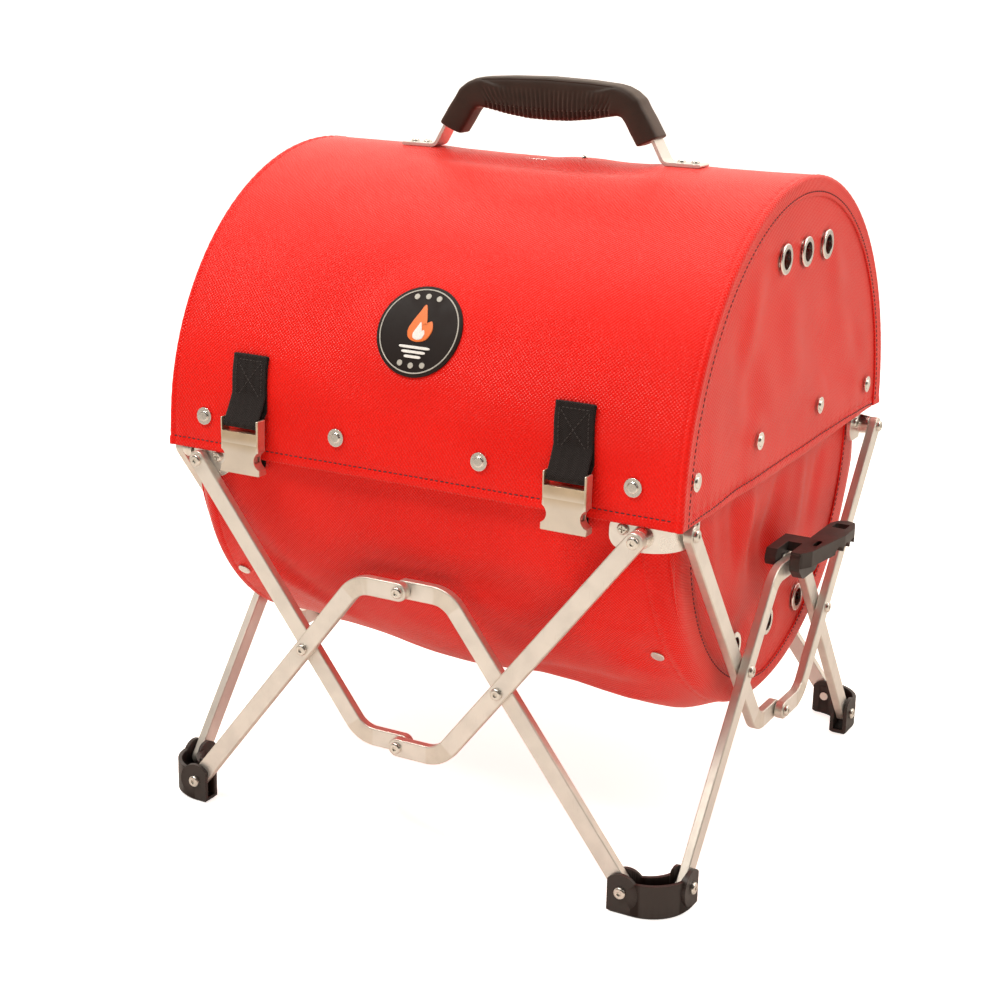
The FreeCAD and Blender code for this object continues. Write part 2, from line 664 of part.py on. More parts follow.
def handle_grip():
    half = [(107, 597, 4), (92, 627, 15), (70, 637, 14), (0, 641.5, 400), (-70, 637, 14), (-92, 627, 15),
            (-107, 597, 4), (-86, 587.5, 4), (-71, 612, 8), (-45, 609, 40), (0, 602.5, 90), (45, 609, 40),
            (71, 612, 8), (86, 587.5, 4)]
    grip = slab(outline(half), -13.0, 13.0)
    grip = rounded(grip, 3.6, lambda e: flat_at(13.0)(e) or flat_at(-13.0)(e))
    for n in range(-14, 15):
        x = n * 4.4
        under = 604.6 + 0.00115 * x * x
        groove = Part.makeBox(1.9, 30, 3.0, Vector(x - 0.95, -15, under - 2.2))
        grip = grip.cut(groove)
    room = path(handle_spine(), 7.0).makeOffset2D(TAB_THICK / 2 + GAP, 0, False, False)
    return grip.cut(slab(room, -HANDLE_WIDE / 2 - GAP, HANDLE_WIDE / 2 + GAP))


def tab_screw(x):
    top = RIDGE + 2 * GAP + TAB_THICK
    head = Part.makeCylinder(3.7, 1.9, Vector(x, 0, top), Z)
    head = rounded(head, 1.3, lambda e: e.BoundBox.ZMin > top + 1.8)
    slot = Part.makeBox(5.0, 1.0, 1.2, Vector(x - 2.5, -0.5, top + 1.1))
    return head.cut(slot).fuse(Part.makeCylinder(2.0, 11.0, Vector(x, 0, top - 10.9), Z)).removeSplitter()


ridge_rivet = Part.makeSphere(2.6, Vector(34, 0, RIDGE + GAP), Z, 0, 90, 360)
save("handle_strap", [handle_strap()])
save("handle_grip", [handle_grip()])
save("handle_screws", [tab_screw(sign * x) for x in TAB_SCREWS for sign in (-1, 1)] + [ridge_rivet])


# Two webbing straps with side release buckles on the lid, and their tongues on the basin

STRAP_PLACES = (-156.5, 150.5)
STRAP_WIDE = 34.0
STRAP_TOP = 412.5
BUCKLE_WIDE = 38.6
BUCKLE_BACK = 243.4
BUCKLE_FRONT = 254.0
BUCKLE_LOW = 315.0
BUCKLE_HIGH = 363.0
BUCKLE_BAR_Z = 358.0
BUCKLE_NOTCH = 8.2
BUCKLE_MID = (BUCKLE_BACK + BUCKLE_FRONT) / 2
BUCKLE_BAR = 2.4
TONGUE_ROOM = 30.0


def lid_strap():
    half = STRAP_WIDE / 2
    flat = sheet_on_lid(LID_RADIUS + 0.4, LID_RADIUS + 4.2, 361, STRAP_TOP, -half, half)
    hem = Part.makeBox(STRAP_WIDE, 4.6, 14, Vector(-half, -242.6, 352))
    loop = Part.makeCylinder(BUCKLE_BAR + 3.0, STRAP_WIDE, Vector(-half, -BUCKLE_MID, BUCKLE_BAR_Z), X)
    hole = Part.makeCylinder(BUCKLE_BAR + 0.2, STRAP_WIDE + 2, Vector(-half - 1, -BUCKLE_MID, BUCKLE_BAR_Z), X)
    tie = Part.makeBox(STRAP_WIDE, 4, 3.0, Vector(-half, -245.4, BUCKLE_BAR_Z + 2.4))
    return flat.fuse(hem).fuse(loop).fuse(tie).cut(hole).removeSplitter()


def buckle():
    half = BUCKLE_WIDE / 2
    low = BUCKLE_LOW
    body = slab(outline([
        (-half, BUCKLE_HIGH, 1), (half, BUCKLE_HIGH, 1), (half - 0.3, low + 26, 20), (half + 1.0, low, 1.2),
        (-half - 1.0, low, 1.2), (-half + 0.3, low + 26, 20)]), BUCKLE_BACK, BUCKLE_FRONT)
    body = rounded(body, 1.2, flat_at(-BUCKLE_FRONT))
    opening = Part.makeBox(STRAP_WIDE + 1.0, 20, 30,
                           Vector(-STRAP_WIDE / 2 - 0.5, -BUCKLE_FRONT - 5, low + 36.6))
    cavity = Part.makeBox(TONGUE_ROOM, 7.0, 36.0, Vector(-TONGUE_ROOM / 2, -BUCKLE_MID - 3.5, low - 3))
    body = body.cut(opening).cut(cavity)
    for sign in (-1, 1):
        body = body.cut(drill(sign * (half + 3.6), low + 13.5, BUCKLE_NOTCH, BUCKLE_BACK - 1, BUCKLE_FRONT + 1))
    bar_across = Part.makeCylinder(BUCKLE_BAR, STRAP_WIDE + 2, Vector(-STRAP_WIDE / 2 - 1, -BUCKLE_MID,
                                                                  BUCKLE_BAR_Z), X)
    return body.fuse(bar_across).removeSplitter()


TONGUE_BAR_Z = BUCKLE_LOW + 8.5
TONGUE_THICK = 3.4
TONGUE_HALF = 14.0


def tongue():
    """Two springy prongs and a guide on a base, with a bar for the webbing."""
    near = BUCKLE_MID - TONGUE_THICK / 2
    far = BUCKLE_MID + TONGUE_THICK / 2
    low = BUCKLE_LOW

    def block(left, right, bottom, top, radius):
        left, right = sorted((left, right))
        return slab(outline([(left, bottom, 0.5), (right, bottom, 0.5), (right, top, radius),
                             (left, top, radius)]), near, far)

    plate = block(-TONGUE_HALF, TONGUE_HALF, low + 13, low + 19, 1)
    for sign in (-1, 1):
        plate = plate.fuse(block(sign * (TONGUE_HALF - 2.4), sign * TONGUE_HALF, low + 6, low + 16, 0.8))
        plate = plate.fuse(block(sign * (TONGUE_HALF - 5.4), sign * TONGUE_HALF, low + 17, low + 31, 2.5))
    guide = block(-3.5, 3.5, low + 17, low + 30, 2.5)
    bar_across = Part.makeCylinder(1.5, 2 * TONGUE_HALF - 3,
                                   Vector(1.5 - TONGUE_HALF, -BUCKLE_MID, TONGUE_BAR_Z), X)
    return plate.fuse(guide).fuse(bar_across).removeSplitter()


TAB_HALF = 11.0


def tongue_tab():
    """Short webbing loop from the tongue's bar, under the buckle, to the basin's front."""
    low = BUCKLE_LOW
    run = [Vector(-BUCKLE_MID, 0, low + 5.5), Vector(-BUCKLE_MID, 0, low - 1.8), Vector(-240.4, 0, low - 2.6),
           Vector(-231.6, 0, low + 2), Vector(-231.6, 0, low + 13)]
    band = path(run, 1.2).makeOffset2D(0.8, 0, False, False)
    solid = slab(band, -TAB_HALF, TAB_HALF)
    solid.rotate(CENTRE, Z, 90)
    loop = Part.makeCylinder(3.1, 2 * TAB_HALF, Vector(-TAB_HALF, -BUCKLE_MID, TONGUE_BAR_Z), X)
    hole = Part.makeCylinder(1.7, 2 * TAB_HALF + 2, Vector(-TAB_HALF - 1, -BUCKLE_MID, TONGUE_BAR_Z), X)
    return solid.fuse(loop).cut(hole).removeSplitter()


def pair(solid):
    copies = []
    for x in STRAP_PLACES:
        copy = solid.copy()
        copy.translate(Vector(x, 0, 0))
        copies.append(copy)
    return copies


save("lid_straps", pair(lid_strap()))
save("lid_buckles", pair(buckle()))
save("buckle_tongues", pair(tongue()))
save("tongue_tabs", pair(tongue_tab()))


# Inside: a welded cooking grate on the rim wire, and a charcoal tray that hangs from it

GRATE_ROD = 1.5
GRATE_RAIL = 2.0
GRATE_Z = RIM_WIRE_Z + RIM_WIRE + 0.2 + GRATE_ROD
GRATE_HALF = 219.0
ROD_PITCH = 18.0
ROD_COUNT = 23
RAIL_Y = 205.0


def grate():
    rods = []
    for n in range(ROD_COUNT):
        x = (n - (ROD_COUNT - 1) / 2) * ROD_PITCH
        rods.append(Part.makeCylinder(GRATE_ROD, 2 * GRATE_HALF, Vector(x, -GRATE_HALF, GRATE_Z), Y))
    for y in (-RAIL_Y, 0, RAIL_Y):
        under = GRATE_Z - GRATE_ROD - GRATE_RAIL + 0.2
        rods.append(Part.makeCylinder(GRATE_RAIL, 420, Vector(-210, y, under), X))
    return rods[0].multiFuse(rods[1:]).removeSplitter()


TRAY_HALF = 200.0
TRAY_WIDE = 150.0
TRAY_FLOOR = 196.0
TRAY_TOP = 236.0
TRAY_STEEL = 0.8


def tray_body():
    """Shallow pan with flared long walls and slots for air in its floor."""
    flare = 22.0
    t = TRAY_STEEL
    shape = [(-TRAY_WIDE, TRAY_TOP), (-TRAY_WIDE + flare, TRAY_FLOOR), (TRAY_WIDE - flare, TRAY_FLOOR),
             (TRAY_WIDE, TRAY_TOP)]
    room = [(-TRAY_WIDE + t, TRAY_TOP + 1), (-TRAY_WIDE + flare + t, TRAY_FLOOR + t),
            (TRAY_WIDE - flare - t, TRAY_FLOOR + t), (TRAY_WIDE - t, TRAY_TOP + 1)]
    outer = slab(outline([(u, z, 0) for u, z in shape]), -TRAY_HALF, TRAY_HALF)
    inner = slab(outline([(u, z, 0) for u, z in room]), -TRAY_HALF + t, TRAY_HALF - t)
    pan = outer.cut(inner)
    for n in range(-5, 6):
        for m in (-1, 0, 1):
            pan = pan.cut(Part.makeBox(60, 8, 6, Vector(m * 82 - 30, n * 34 - 4, TRAY_FLOOR - 2)))
    pan.rotate(CENTRE, Z, 90)
    return pan


def hanger(x):
    """Flat strip from the tray's wall, hooked over the rim wire between two rods."""
    run = [Vector(TRAY_WIDE - 6.6, 0, 226), Vector(217.2, 0, 316), Vector(217.2, 0, 327.9),
           Vector(224.7, 0, 327.9), Vector(224.7, 0, 322)]
    band = path(run, 0.9).makeOffset2D(0.55, 0, False, False)
    strap = slab(band, -4.0, 4.0)
    strap.rotate(CENTRE, Z, 90)
    strap.translate(Vector(x, 0, 0))
    return strap


def tray():
    solid = tray_body()
    for x in (-9 * ROD_PITCH + ROD_PITCH / 2, 9 * ROD_PITCH - ROD_PITCH / 2):
        arm = hanger(x)
        solid = solid.fuse(arm).fuse(arm.mirror(CENTRE, Y))
    return solid.removeSplitter()


save("cooking_grate", [grate()])
save("charcoal_tray", [tray()])
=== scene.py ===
"""Looks of the portable grill: sewn cloth, webbing, patch, thread and materials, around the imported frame.

All places are in metres in the frame's own axes. The cloth pieces are grids of points that follow the
CAD surfaces, with the hems, bands, puckers and folds of sewn coated cloth worked into them.
"""
import json
import math

import bmesh
import bpy
import numpy as np
from mathutils import Matrix, Vector, noise

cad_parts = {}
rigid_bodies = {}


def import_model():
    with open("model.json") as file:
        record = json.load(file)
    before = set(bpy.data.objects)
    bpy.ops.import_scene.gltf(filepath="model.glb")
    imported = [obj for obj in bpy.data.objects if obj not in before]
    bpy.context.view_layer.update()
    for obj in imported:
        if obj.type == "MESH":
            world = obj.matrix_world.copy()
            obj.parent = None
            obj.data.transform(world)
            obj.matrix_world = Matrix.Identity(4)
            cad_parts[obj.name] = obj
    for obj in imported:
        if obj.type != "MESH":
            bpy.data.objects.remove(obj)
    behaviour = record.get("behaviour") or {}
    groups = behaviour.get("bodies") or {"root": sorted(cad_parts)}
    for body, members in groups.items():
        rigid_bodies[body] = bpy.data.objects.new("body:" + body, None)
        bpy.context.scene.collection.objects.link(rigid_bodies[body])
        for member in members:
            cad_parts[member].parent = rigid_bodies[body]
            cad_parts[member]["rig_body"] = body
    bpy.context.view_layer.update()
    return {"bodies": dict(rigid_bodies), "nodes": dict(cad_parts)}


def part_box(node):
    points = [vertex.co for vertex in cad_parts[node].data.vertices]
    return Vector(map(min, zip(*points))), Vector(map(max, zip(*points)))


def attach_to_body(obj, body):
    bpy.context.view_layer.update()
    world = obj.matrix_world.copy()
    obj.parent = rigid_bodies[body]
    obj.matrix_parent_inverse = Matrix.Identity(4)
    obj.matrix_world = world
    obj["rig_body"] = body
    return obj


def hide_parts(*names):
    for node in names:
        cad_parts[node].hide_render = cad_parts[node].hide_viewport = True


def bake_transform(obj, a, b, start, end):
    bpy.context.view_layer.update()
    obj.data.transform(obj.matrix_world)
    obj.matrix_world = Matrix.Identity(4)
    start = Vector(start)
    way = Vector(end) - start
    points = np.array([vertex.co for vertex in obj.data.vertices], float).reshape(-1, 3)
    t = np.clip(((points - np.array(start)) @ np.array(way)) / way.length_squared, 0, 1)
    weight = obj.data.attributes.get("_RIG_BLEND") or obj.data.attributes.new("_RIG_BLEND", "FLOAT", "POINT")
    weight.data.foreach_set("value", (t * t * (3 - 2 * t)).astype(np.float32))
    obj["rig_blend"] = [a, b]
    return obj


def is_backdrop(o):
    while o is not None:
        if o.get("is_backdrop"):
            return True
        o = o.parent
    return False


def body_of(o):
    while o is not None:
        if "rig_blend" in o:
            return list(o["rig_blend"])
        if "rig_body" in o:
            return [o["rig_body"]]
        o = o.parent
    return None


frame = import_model()

MM = 0.001

# Places from the frame
lid_low, lid_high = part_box("lid_cover")
LID_HALF = lid_high.x
LID_RADIUS = lid_high.y
LID_AXIS_Z = lid_high.z - LID_RADIUS
LID_RIM = lid_low.z
LID_TOP = lid_high.z
basin_low, basin_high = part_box("basin_cover")
BASIN_HALF = basin_high.x
BASIN_RIM = basin_high.z
BASIN_DEEP = BASIN_RIM - basin_low.z

# Sewn cloth
CLOTH = 1.4 * MM
END_INSET = CLOTH + 0.2 * MM       # the end panels lie just inside the bands that lap over them
VENT_HOLE = 10.6 * MM
HEM = 8 * MM
HEM_DROP = 7.5 * MM                # the front hem hangs this far below the CAD rim
LID_CORNER = 4 * MM
LID_BAND = 13 * MM
STITCH = 3.6 * MM
STITCH_GAP = 1.3 * MM
THREAD = 0.5 * MM


# ---------------------------------------------------------------- node trees

class Tree:
    """Short way to write a shader node tree."""

    def __init__(self, tree):
        self.tree = tree
        tree.nodes.clear()

    def add(self, kind, inputs=None, **settings):
        node = self.tree.nodes.new("ShaderNode" + kind)
        for name, value in settings.items():
            setattr(node, name, value)
        for key, value in (inputs or {}).items():
            if isinstance(value, bpy.types.NodeSocket):
                self.tree.links.new(value, node.inputs[key])
            else:
                node.inputs[key].default_value = value
        return node

    def calc(self, operation, *values):
        return self.add("Math", dict(enumerate(values)), operation=operation).outputs[0]

    def spread(self, value, low, high, new_low=0.0, new_high=1.0):
        """Smoothly maps low..high to new_low..new_high."""
        inputs = {"Value": value, "From Min": low, "From Max": high, "To Min": new_low, "To Max": new_high}
        return self.add("MapRange", inputs, interpolation_type="SMOOTHSTEP").outputs[0]

    def mix(self, factor, a, b, blend="MIX"):
        inputs = {0: factor, 6: a, 7: b}
        return self.add("Mix", inputs, data_type="RGBA", blend_type=blend).outputs[2]

    def noise(self, vector, scale, detail=2.0, rough=0.5):
        inputs = {"Vector": vector, "Scale": scale, "Detail": detail, "Roughness": rough}
        return self.add("TexNoise", inputs).outputs[0]

    def stretched(self, vector, x, y, z):
        return self.add("Mapping", {"Vector": vector, "Scale": (x, y, z)}).outputs[0]

    def bump(self, height, distance, strength=1.0, normal=None):
        inputs = {"Height": height, "Distance": distance, "Strength": strength}
        if normal is not None:
            inputs["Normal"] = normal
        return self.add("Bump", inputs).outputs[0]

    def soft_edges(self, radius=0.5 * MM):
        """Normal that reads as a small rounding on sharp edges."""
        return self.add("Bevel", {"Radius": radius}, samples=4).outputs[0]


def colour(red, green, blue):
    return (red, green, blue, 1.0)


def finish_material(tree, **inputs):
    shader = tree.add("BsdfPrincipled", {name.replace("_", " "): value for name, value in inputs.items()})
    tree.add("OutputMaterial", {0: shader.outputs[0]})


def new_material(name):
    material = bpy.data.materials.new(name)
    material.use_nodes = True
    return material, Tree(material.node_tree)


# ---------------------------------------------------------------- materials

WEAVE = 3.2 * MM          # repeat of the diagonal glass weave


def coated_cloth(name):
    """Glossy silicone-coated glass cloth: a diagonal weave of small pillows under a red skin."""
    material, t = new_material(name)
    place = t.add("UVMap", uv_map="cloth").outputs[0]
    solid = t.add("TexCoord").outputs["Object"]
    across, along, _ = t.add("SeparateXYZ", {0: place}).outputs[:3]
    turn = 2 * math.pi / WEAVE
    pillow = t.calc("MULTIPLY", t.calc("SINE", t.calc("MULTIPLY", across, turn)),
                    t.calc("SINE", t.calc("MULTIPLY", along, turn)))
    normal = t.bump(pillow, 0.23 * MM)
    normal = t.bump(t.noise(solid, 900.0, 2.0), 0.02 * MM, 0.5, normal)
    base = t.mix(t.spread(t.noise(solid, 9.0, 1.0), 0.3, 0.7),
                 colour(0.81, 0.008, 0.004), colour(0.88, 0.011, 0.006))
    # painted shade: the red is darker in the hollows between the weave's pillows
    base = t.mix(t.spread(pillow, -1, 0.2, 0.22, 0.0), base, colour(0.60, 0.004, 0.004))
    rough = t.spread(t.noise(solid, 12.0, 1.0), 0.3, 0.7, 0.28, 0.32)
    finish_material(t, Base_Color=base, Roughness=rough, Normal=normal, Specular_IOR_Level=0.19,
                    Sheen_Weight=0.22, Sheen_Roughness=0.45, Sheen_Tint=colour(1.0, 0.78, 0.66))
    return material


def metal(name, tint, rough, grain=0.02, metallic=1.0, scratches=0.1, stretch=(1, 1, 1)):
    """Bare metal with a fine grain, blurred wear patches, a few scratches and brighter edges."""
    material, t = new_material(name)
    coords = t.add("TexCoord").outputs["Object"]
    fine = t.noise(t.stretched(coords, *stretch), 1400.0, 2.0)
    patches = t.noise(coords, 55.0, 4.0, 0.6)
    lines = t.noise(t.stretched(coords, 1.0, 1.0, 0.12), 700.0, 1.0)
    scratch = t.spread(lines, 0.70, 0.76, 0.0, scratches)
    edges = t.spread(t.add("NewGeometry").outputs["Pointiness"], 0.5, 0.58)
    base = t.mix(t.spread(patches, 0.35, 0.7), colour(*tint), colour(*[c * 0.90 for c in tint]))
    base = t.mix(t.calc("MULTIPLY", edges, 0.5), base, colour(0.97, 0.95, 0.92))
    base = t.mix(scratch, base, colour(*[c * 0.55 for c in tint]))
    roughness = t.spread(patches, 0.3, 0.7, rough * 0.85, rough * 1.2)
    normal = t.bump(fine, grain * MM, 1.0, t.soft_edges())
    finish_material(t, Base_Color=base, Metallic=metallic, Roughness=roughness, Normal=normal,
                    Specular_IOR_Level=0.5)
    return material


def moulded(name, tint, rough, grain, worn=0.08, scale=1100.0, sheen=0.0):
    """Moulded plastic or rubber: fine spark-eroded grain, faint bloom and paler rubbed edges."""
    material, t = new_material(name)
    coords = t.add("TexCoord").outputs["Object"]
    grains = t.noise(coords, scale, 2.0)
    bloom = t.noise(coords, 40.0, 4.0, 0.6)
    edges = t.spread(t.add("NewGeometry").outputs["Pointiness"], 0.51, 0.60)
    base = t.mix(t.spread(bloom, 0.3, 0.75, 0.0, 0.5), colour(*tint), colour(*[c * 1.7 for c in tint]))
    base = t.mix(t.calc("MULTIPLY", edges, worn), base, colour(0.45, 0.42, 0.40))
    roughness = t.spread(bloom, 0.3, 0.7, rough * 0.85, rough * 1.15)
    normal = t.bump(grains, grain * MM, 1.0, t.soft_edges())
    finish_material(t, Base_Color=base, Roughness=roughness, Normal=normal, Specular_IOR_Level=0.25,
                    Sheen_Weight=sheen, Sheen_Roughness=0.5, Sheen_Tint=colour(1.0, 0.80, 0.66))
    return material


def webbing_material():
    """Black polyester webbing: herringbone ribs along the strap and a slightly fuzzy face."""
    material, t = new_material("webbing")
    place = t.add("UVMap", uv_map="cloth").outputs[0]
    across, along, _ = t.add("SeparateXYZ", {0: place}).outputs[:3]
    rib = 2 * math.pi / (1.6 * MM)
    herring = t.calc("PINGPONG", across, 4.0 * MM)
    slant = t.calc("ADD", t.calc("MULTIPLY", along, rib), t.calc("MULTIPLY", herring, rib * 0.9))
    yarn = t.calc("SINE", slant)
    fuzz = t.noise(place, 2600.0, 3.0)
    base = t.mix(t.spread(yarn, -1, 1, 0, 1), colour(0.004, 0.0025, 0.0022), colour(0.018, 0.010, 0.0085))
    base = t.mix(t.spread(fuzz, 0.55, 0.75, 0.0, 0.35), base, colour(0.055, 0.042, 0.038))
    normal = t.bump(fuzz, 0.10 * MM, 0.6, t.bump(yarn, 0.22 * MM))
    finish_material(t, Base_Color=base, Roughness=0.78, Normal=normal, Sheen_Weight=0.08,
                    Sheen_Roughness=0.5, Specular_IOR_Level=0.25)
    return material


def thread_material(name, tint):
    material, t = new_material(name)
    coords = t.add("TexCoord").outputs["Object"]
    twist = t.noise(coords, 1800.0, 2.0)
    base = t.mix(t.spread(twist, 0.35, 0.65), colour(*tint),
                 colour(*[min(1.0, c * 2.2 + 0.01) for c in tint]))
    finish_material(t, Base_Color=base, Roughness=0.7, Normal=t.bump(twist, 0.1 * MM))
    return material


def paint(name, tint, rough=0.5):
    """Printed or moulded colour on the patch."""
    material, t = new_material(name)
    coords = t.add("TexCoord").outputs["Object"]
    speck = t.noise(coords, 1500.0, 2.0)
    base = t.mix(t.spread(speck, 0.4, 0.75), colour(*tint), colour(*[c * 0.8 for c in tint]))
    finish_material(t, Base_Color=base, Roughness=rough, Normal=t.bump(speck, 0.03 * MM))
    return material


RED = coated_cloth("red_coated_cloth")
ALUMINIUM = metal("satin_aluminium", (0.80, 0.745, 0.665), 0.40, 0.012, 0.80, 0.10, (1, 1, 0.15))
BRACKET_METAL = metal("pressed_aluminium", (0.90, 0.865, 0.80), 0.30, 0.012, 0.85, 0.08)
RIVET = metal("turned_rivet", (0.80, 0.76, 0.69), 0.26, 0.01, 1.0, 0.05)
NICKEL = metal("bright_nickel", (0.90, 0.875, 0.82), 0.24, 0.008, 1.0, 0.05)
BUCKLE = metal("champagne_nickel", (0.64, 0.52, 0.37), 0.36, 0.02, 0.9, 0.08, (1, 1, 0.1))
STAINLESS = metal("stainless_sheet", (0.62, 0.61, 0.59), 0.33, 0.03, 1.0, 0.15, (0.1, 1, 1))
ROD = metal("polished_rod", (0.70, 0.69, 0.67), 0.18, 0.01, 1.0, 0.05)
SPRING = metal("spring_steel", (0.45, 0.45, 0.46), 0.35, 0.02, 1.0, 0.1)
NYLON = moulded("foot_nylon", (0.013, 0.0055, 0.0035), 0.42, 0.03)
RUBBER = moulded("grip_rubber", (0.024, 0.014, 0.010), 0.50, 0.05, 0.05, 800.0, 0.25)
PATCH = moulded("patch_rubber", (0.010, 0.0055, 0.0045), 0.58, 0.04, 0.03, 1300.0)
WEBBING = webbing_material()
DARK_THREAD = thread_material("dark_thread", (0.035, 0.016, 0.018))
BLACK_THREAD = thread_material("black_thread", (0.024, 0.018, 0.017))
GREY_PRINT = paint("grey_print", (0.50, 0.48, 0.43))
ORANGE_PRINT = paint("orange_print", (0.90, 0.20, 0.04))
WHITE_PRINT = paint("white_print", (0.88, 0.86, 0.83))


FINISHES = {
    RIVET: ("_rivets", "bracket_fixings", "handle_screws"),
    BRACKET_METAL: ("_bracket",),
    NYLON: ("_foot", "fold_lever"),
    NICKEL: ("eyelets", "snaps"),
    SPRING: ("wires", "hoops"),
    STAINLESS: ("tray", "plate"),
    ROD: ("grate",),
    BUCKLE: ("buckles", "tongues"),
    RUBBER: ("grip",),
}


def material_for(node):
    """The finish of a CAD node that stays in view."""
    for material, endings in FINISHES.items():
        if node.endswith(endings):
            return material
    return ALUMINIUM


def paint_frame():
    for name, node in frame["nodes"].items():
        node.data.materials.clear()
        node.data.materials.append(material_for(name))


# ---------------------------------------------------------------- mesh helpers

def spaced(low, high, edge, fine, coarse):
    """Positions from low to high, closer together within edge of both ends."""
    inner = np.linspace(low + edge, high - edge, max(2, int((high - low - 2 * edge) / coarse) + 1))
    steps = int(edge / fine)
    first = np.linspace(low, low + edge, steps + 1)[:-1]
    last = np.linspace(high - edge, high, steps + 1)[1:]
    return np.concatenate([first, inner, last])


def wander(points, size, seed, stretch=(1, 1, 1)):
    """Smooth noise, about -1 to 1, at each point, with features of about that size."""
    shift = Vector((seed * 17.3, seed * 5.1, seed * 9.7))
    flat = points.reshape(-1, 3) / (np.array(stretch) * size)
    return np.array([noise.noise(Vector(p) + shift) for p in flat]).reshape(points.shape[:-1])


def smooth(value, low, high):
    t = np.clip((value - low) / (high - low), 0, 1)
    return t * t * (3 - 2 * t)


def fold(a, b, start, end, width, depth):
    """A soft fold along a line in panel coordinates: deepest midway, fading to both ends."""
    (a0, b0), (a1, b1) = start, end
    da, db = a1 - a0, b1 - b0
    length = math.hypot(da, db)
    along = ((a - a0) * da + (b - b0) * db) / length ** 2
    off = ((a - a0) * db - (b - b0) * da) / length
    fade = smooth(along, -0.15, 0.35) * (1 - smooth(along, 0.65, 1.15))
    return depth * np.exp(-(off / width) ** 2) * fade


def grid_object(name, points, cloth_uv, material, flip=False, skip=None):
    """Mesh from a (rows, columns, 3) array, with its cloth coordinates in metres as UVs."""
    rows, columns = points.shape[:2]
    index = np.arange(rows * columns).reshape(rows, columns)
    quads = quads_of(index)
    if flip:
        quads = quads[:, ::-1]
    if skip is not None:
        middle = points.reshape(-1, 3)[quads].mean(1)
        quads = quads[~skip(middle)]
    return mesh_object(name, points.reshape(-1, 3), quads.tolist(), material, cloth_uv.reshape(-1, 2))


def mesh_object(name, vertices, faces, material, vertex_uv=None):
    mesh = bpy.data.meshes.new(name)
    mesh.from_pydata([tuple(v) for v in vertices], [], faces)
    if vertex_uv is not None:
        layer = mesh.uv_layers.new(name="cloth")
        loops = np.zeros(len(mesh.loops), np.int32)
        mesh.loops.foreach_get("vertex_index", loops)
        layer.data.foreach_set("uv", np.asarray(vertex_uv)[loops].astype(np.float32).ravel())
    mesh.polygons.foreach_set("use_smooth", [True] * len(mesh.polygons))
    mesh.materials.append(material)
    mesh.update()
    made = bpy.data.objects.new(name, mesh)
    bpy.context.scene.collection.objects.link(made)
    return made


def thicken(piece, thickness, offset=-1.0):
    solid = piece.modifiers.new("cloth_thickness", "SOLIDIFY")
    solid.thickness = thickness
    solid.offset = offset


def attach(piece, body, replaced=None):
    """Hangs a piece on a body, in place of a CAD node if one is named."""
    if replaced:
        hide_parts(replaced)
    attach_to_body(piece, body)


def drop_loose(mesh):
    """Deletes vertices that no face uses."""
    loose = [v for v in mesh.verts if not v.link_faces]
    bmesh.ops.delete(mesh, geom=loose, context="VERTS")


def face_outward(mesh):
    bmesh.ops.recalc_face_normals(mesh, faces=mesh.faces)


def mended(piece, mend):
    """Runs one of the two repairs above on a piece's mesh."""
    mesh = bmesh.new()
    mesh.from_mesh(piece.data)
    mend(mesh)
    mesh.to_mesh(piece.data)
    mesh.free()


def islands(node):
    """Centre of each separate solid of a CAD node, and the solid that each vertex belongs to."""
    mesh = frame["nodes"][node].data
    co = np.zeros(len(mesh.vertices) * 3)
    mesh.vertices.foreach_get("co", co)
    co = co.reshape(-1, 3)
    _, same = np.unique(np.round(co / (0.02 * MM)).astype(int), axis=0, return_inverse=True)
    same = same.ravel()
    ends = np.zeros(len(mesh.edges) * 2, int)
    mesh.edges.foreach_get("vertices", ends)
    ends = same[ends.reshape(-1, 2)]
    label = np.arange(same.max() + 1)
    while True:
        low = np.minimum(label[ends[:, 0]], label[ends[:, 1]])
        new = label.copy()
        np.minimum.at(new, ends[:, 0], low)
        np.minimum.at(new, ends[:, 1], low)
        new = new[new]
        if (new == label).all():
            break
        label = new
    _, solid = np.unique(label[same], return_inverse=True)
    solid = solid.ravel()
    centres = []
    for n in range(solid.max() + 1):
        part = co[solid == n]
        centres.append((part.min(0) + part.max(0)) / 2)
    return np.array(centres), solid


def distance_along(line):
    """Distance from the start of a line to each of its points."""
    return np.concatenate([[0], np.cumsum(np.linalg.norm(np.diff(line, axis=0), axis=1))])


def hump(value, middle, width):
    """1 at the middle, fading smoothly to 0 a few widths away."""
    return np.exp(-((value - middle) / width) ** 2)


def quads_of(index):
    """Faces between the rows and columns of a grid of vertex numbers."""
    return np.stack([index[:-1, :-1], index[1:, :-1], index[1:, 1:], index[:-1, 1:]], -1).reshape(-1, 4)


def joined(shapes):
    """Vertices and faces of several (vertices, faces) shapes as one."""
    vertices, faces = [], []
    for made, sides in shapes:
        faces += [[v + len(vertices) for v in face] for face in sides]
        vertices += made
    return vertices, faces


def arc(middle, radius, start, end, count):
    angles = np.radians(np.linspace(start, end, count))
    return [(middle[0] + radius * math.cos(a), middle[1] + radius * math.sin(a)) for a in angles]


def evenly(line, step, passes=2):
    """The same line with points at an even spacing and its corners eased."""
    line = np.array(line)
    place = distance_along(line)
    want = np.linspace(0, place[-1], int(place[-1] / step) + 1)
    line = np.stack([np.interp(want, place, line[:, k]) for k in range(line.shape[1])], -1)
    for _ in range(passes):
        line[1:-1] = (line[:-2] + 2 * line[1:-1] + line[2:]) / 4
    return line


def calm(points, centres, near, far):
    """0 close to any of the centres and 1 away from all of them: keeps cloth flat under hardware."""
    keep = np.ones(points.shape[:-1])
    for centre in centres:
        keep = keep * smooth(np.linalg.norm(points - centre, axis=-1), near, far)
    return keep


# ---------------------------------------------------------------- stitches

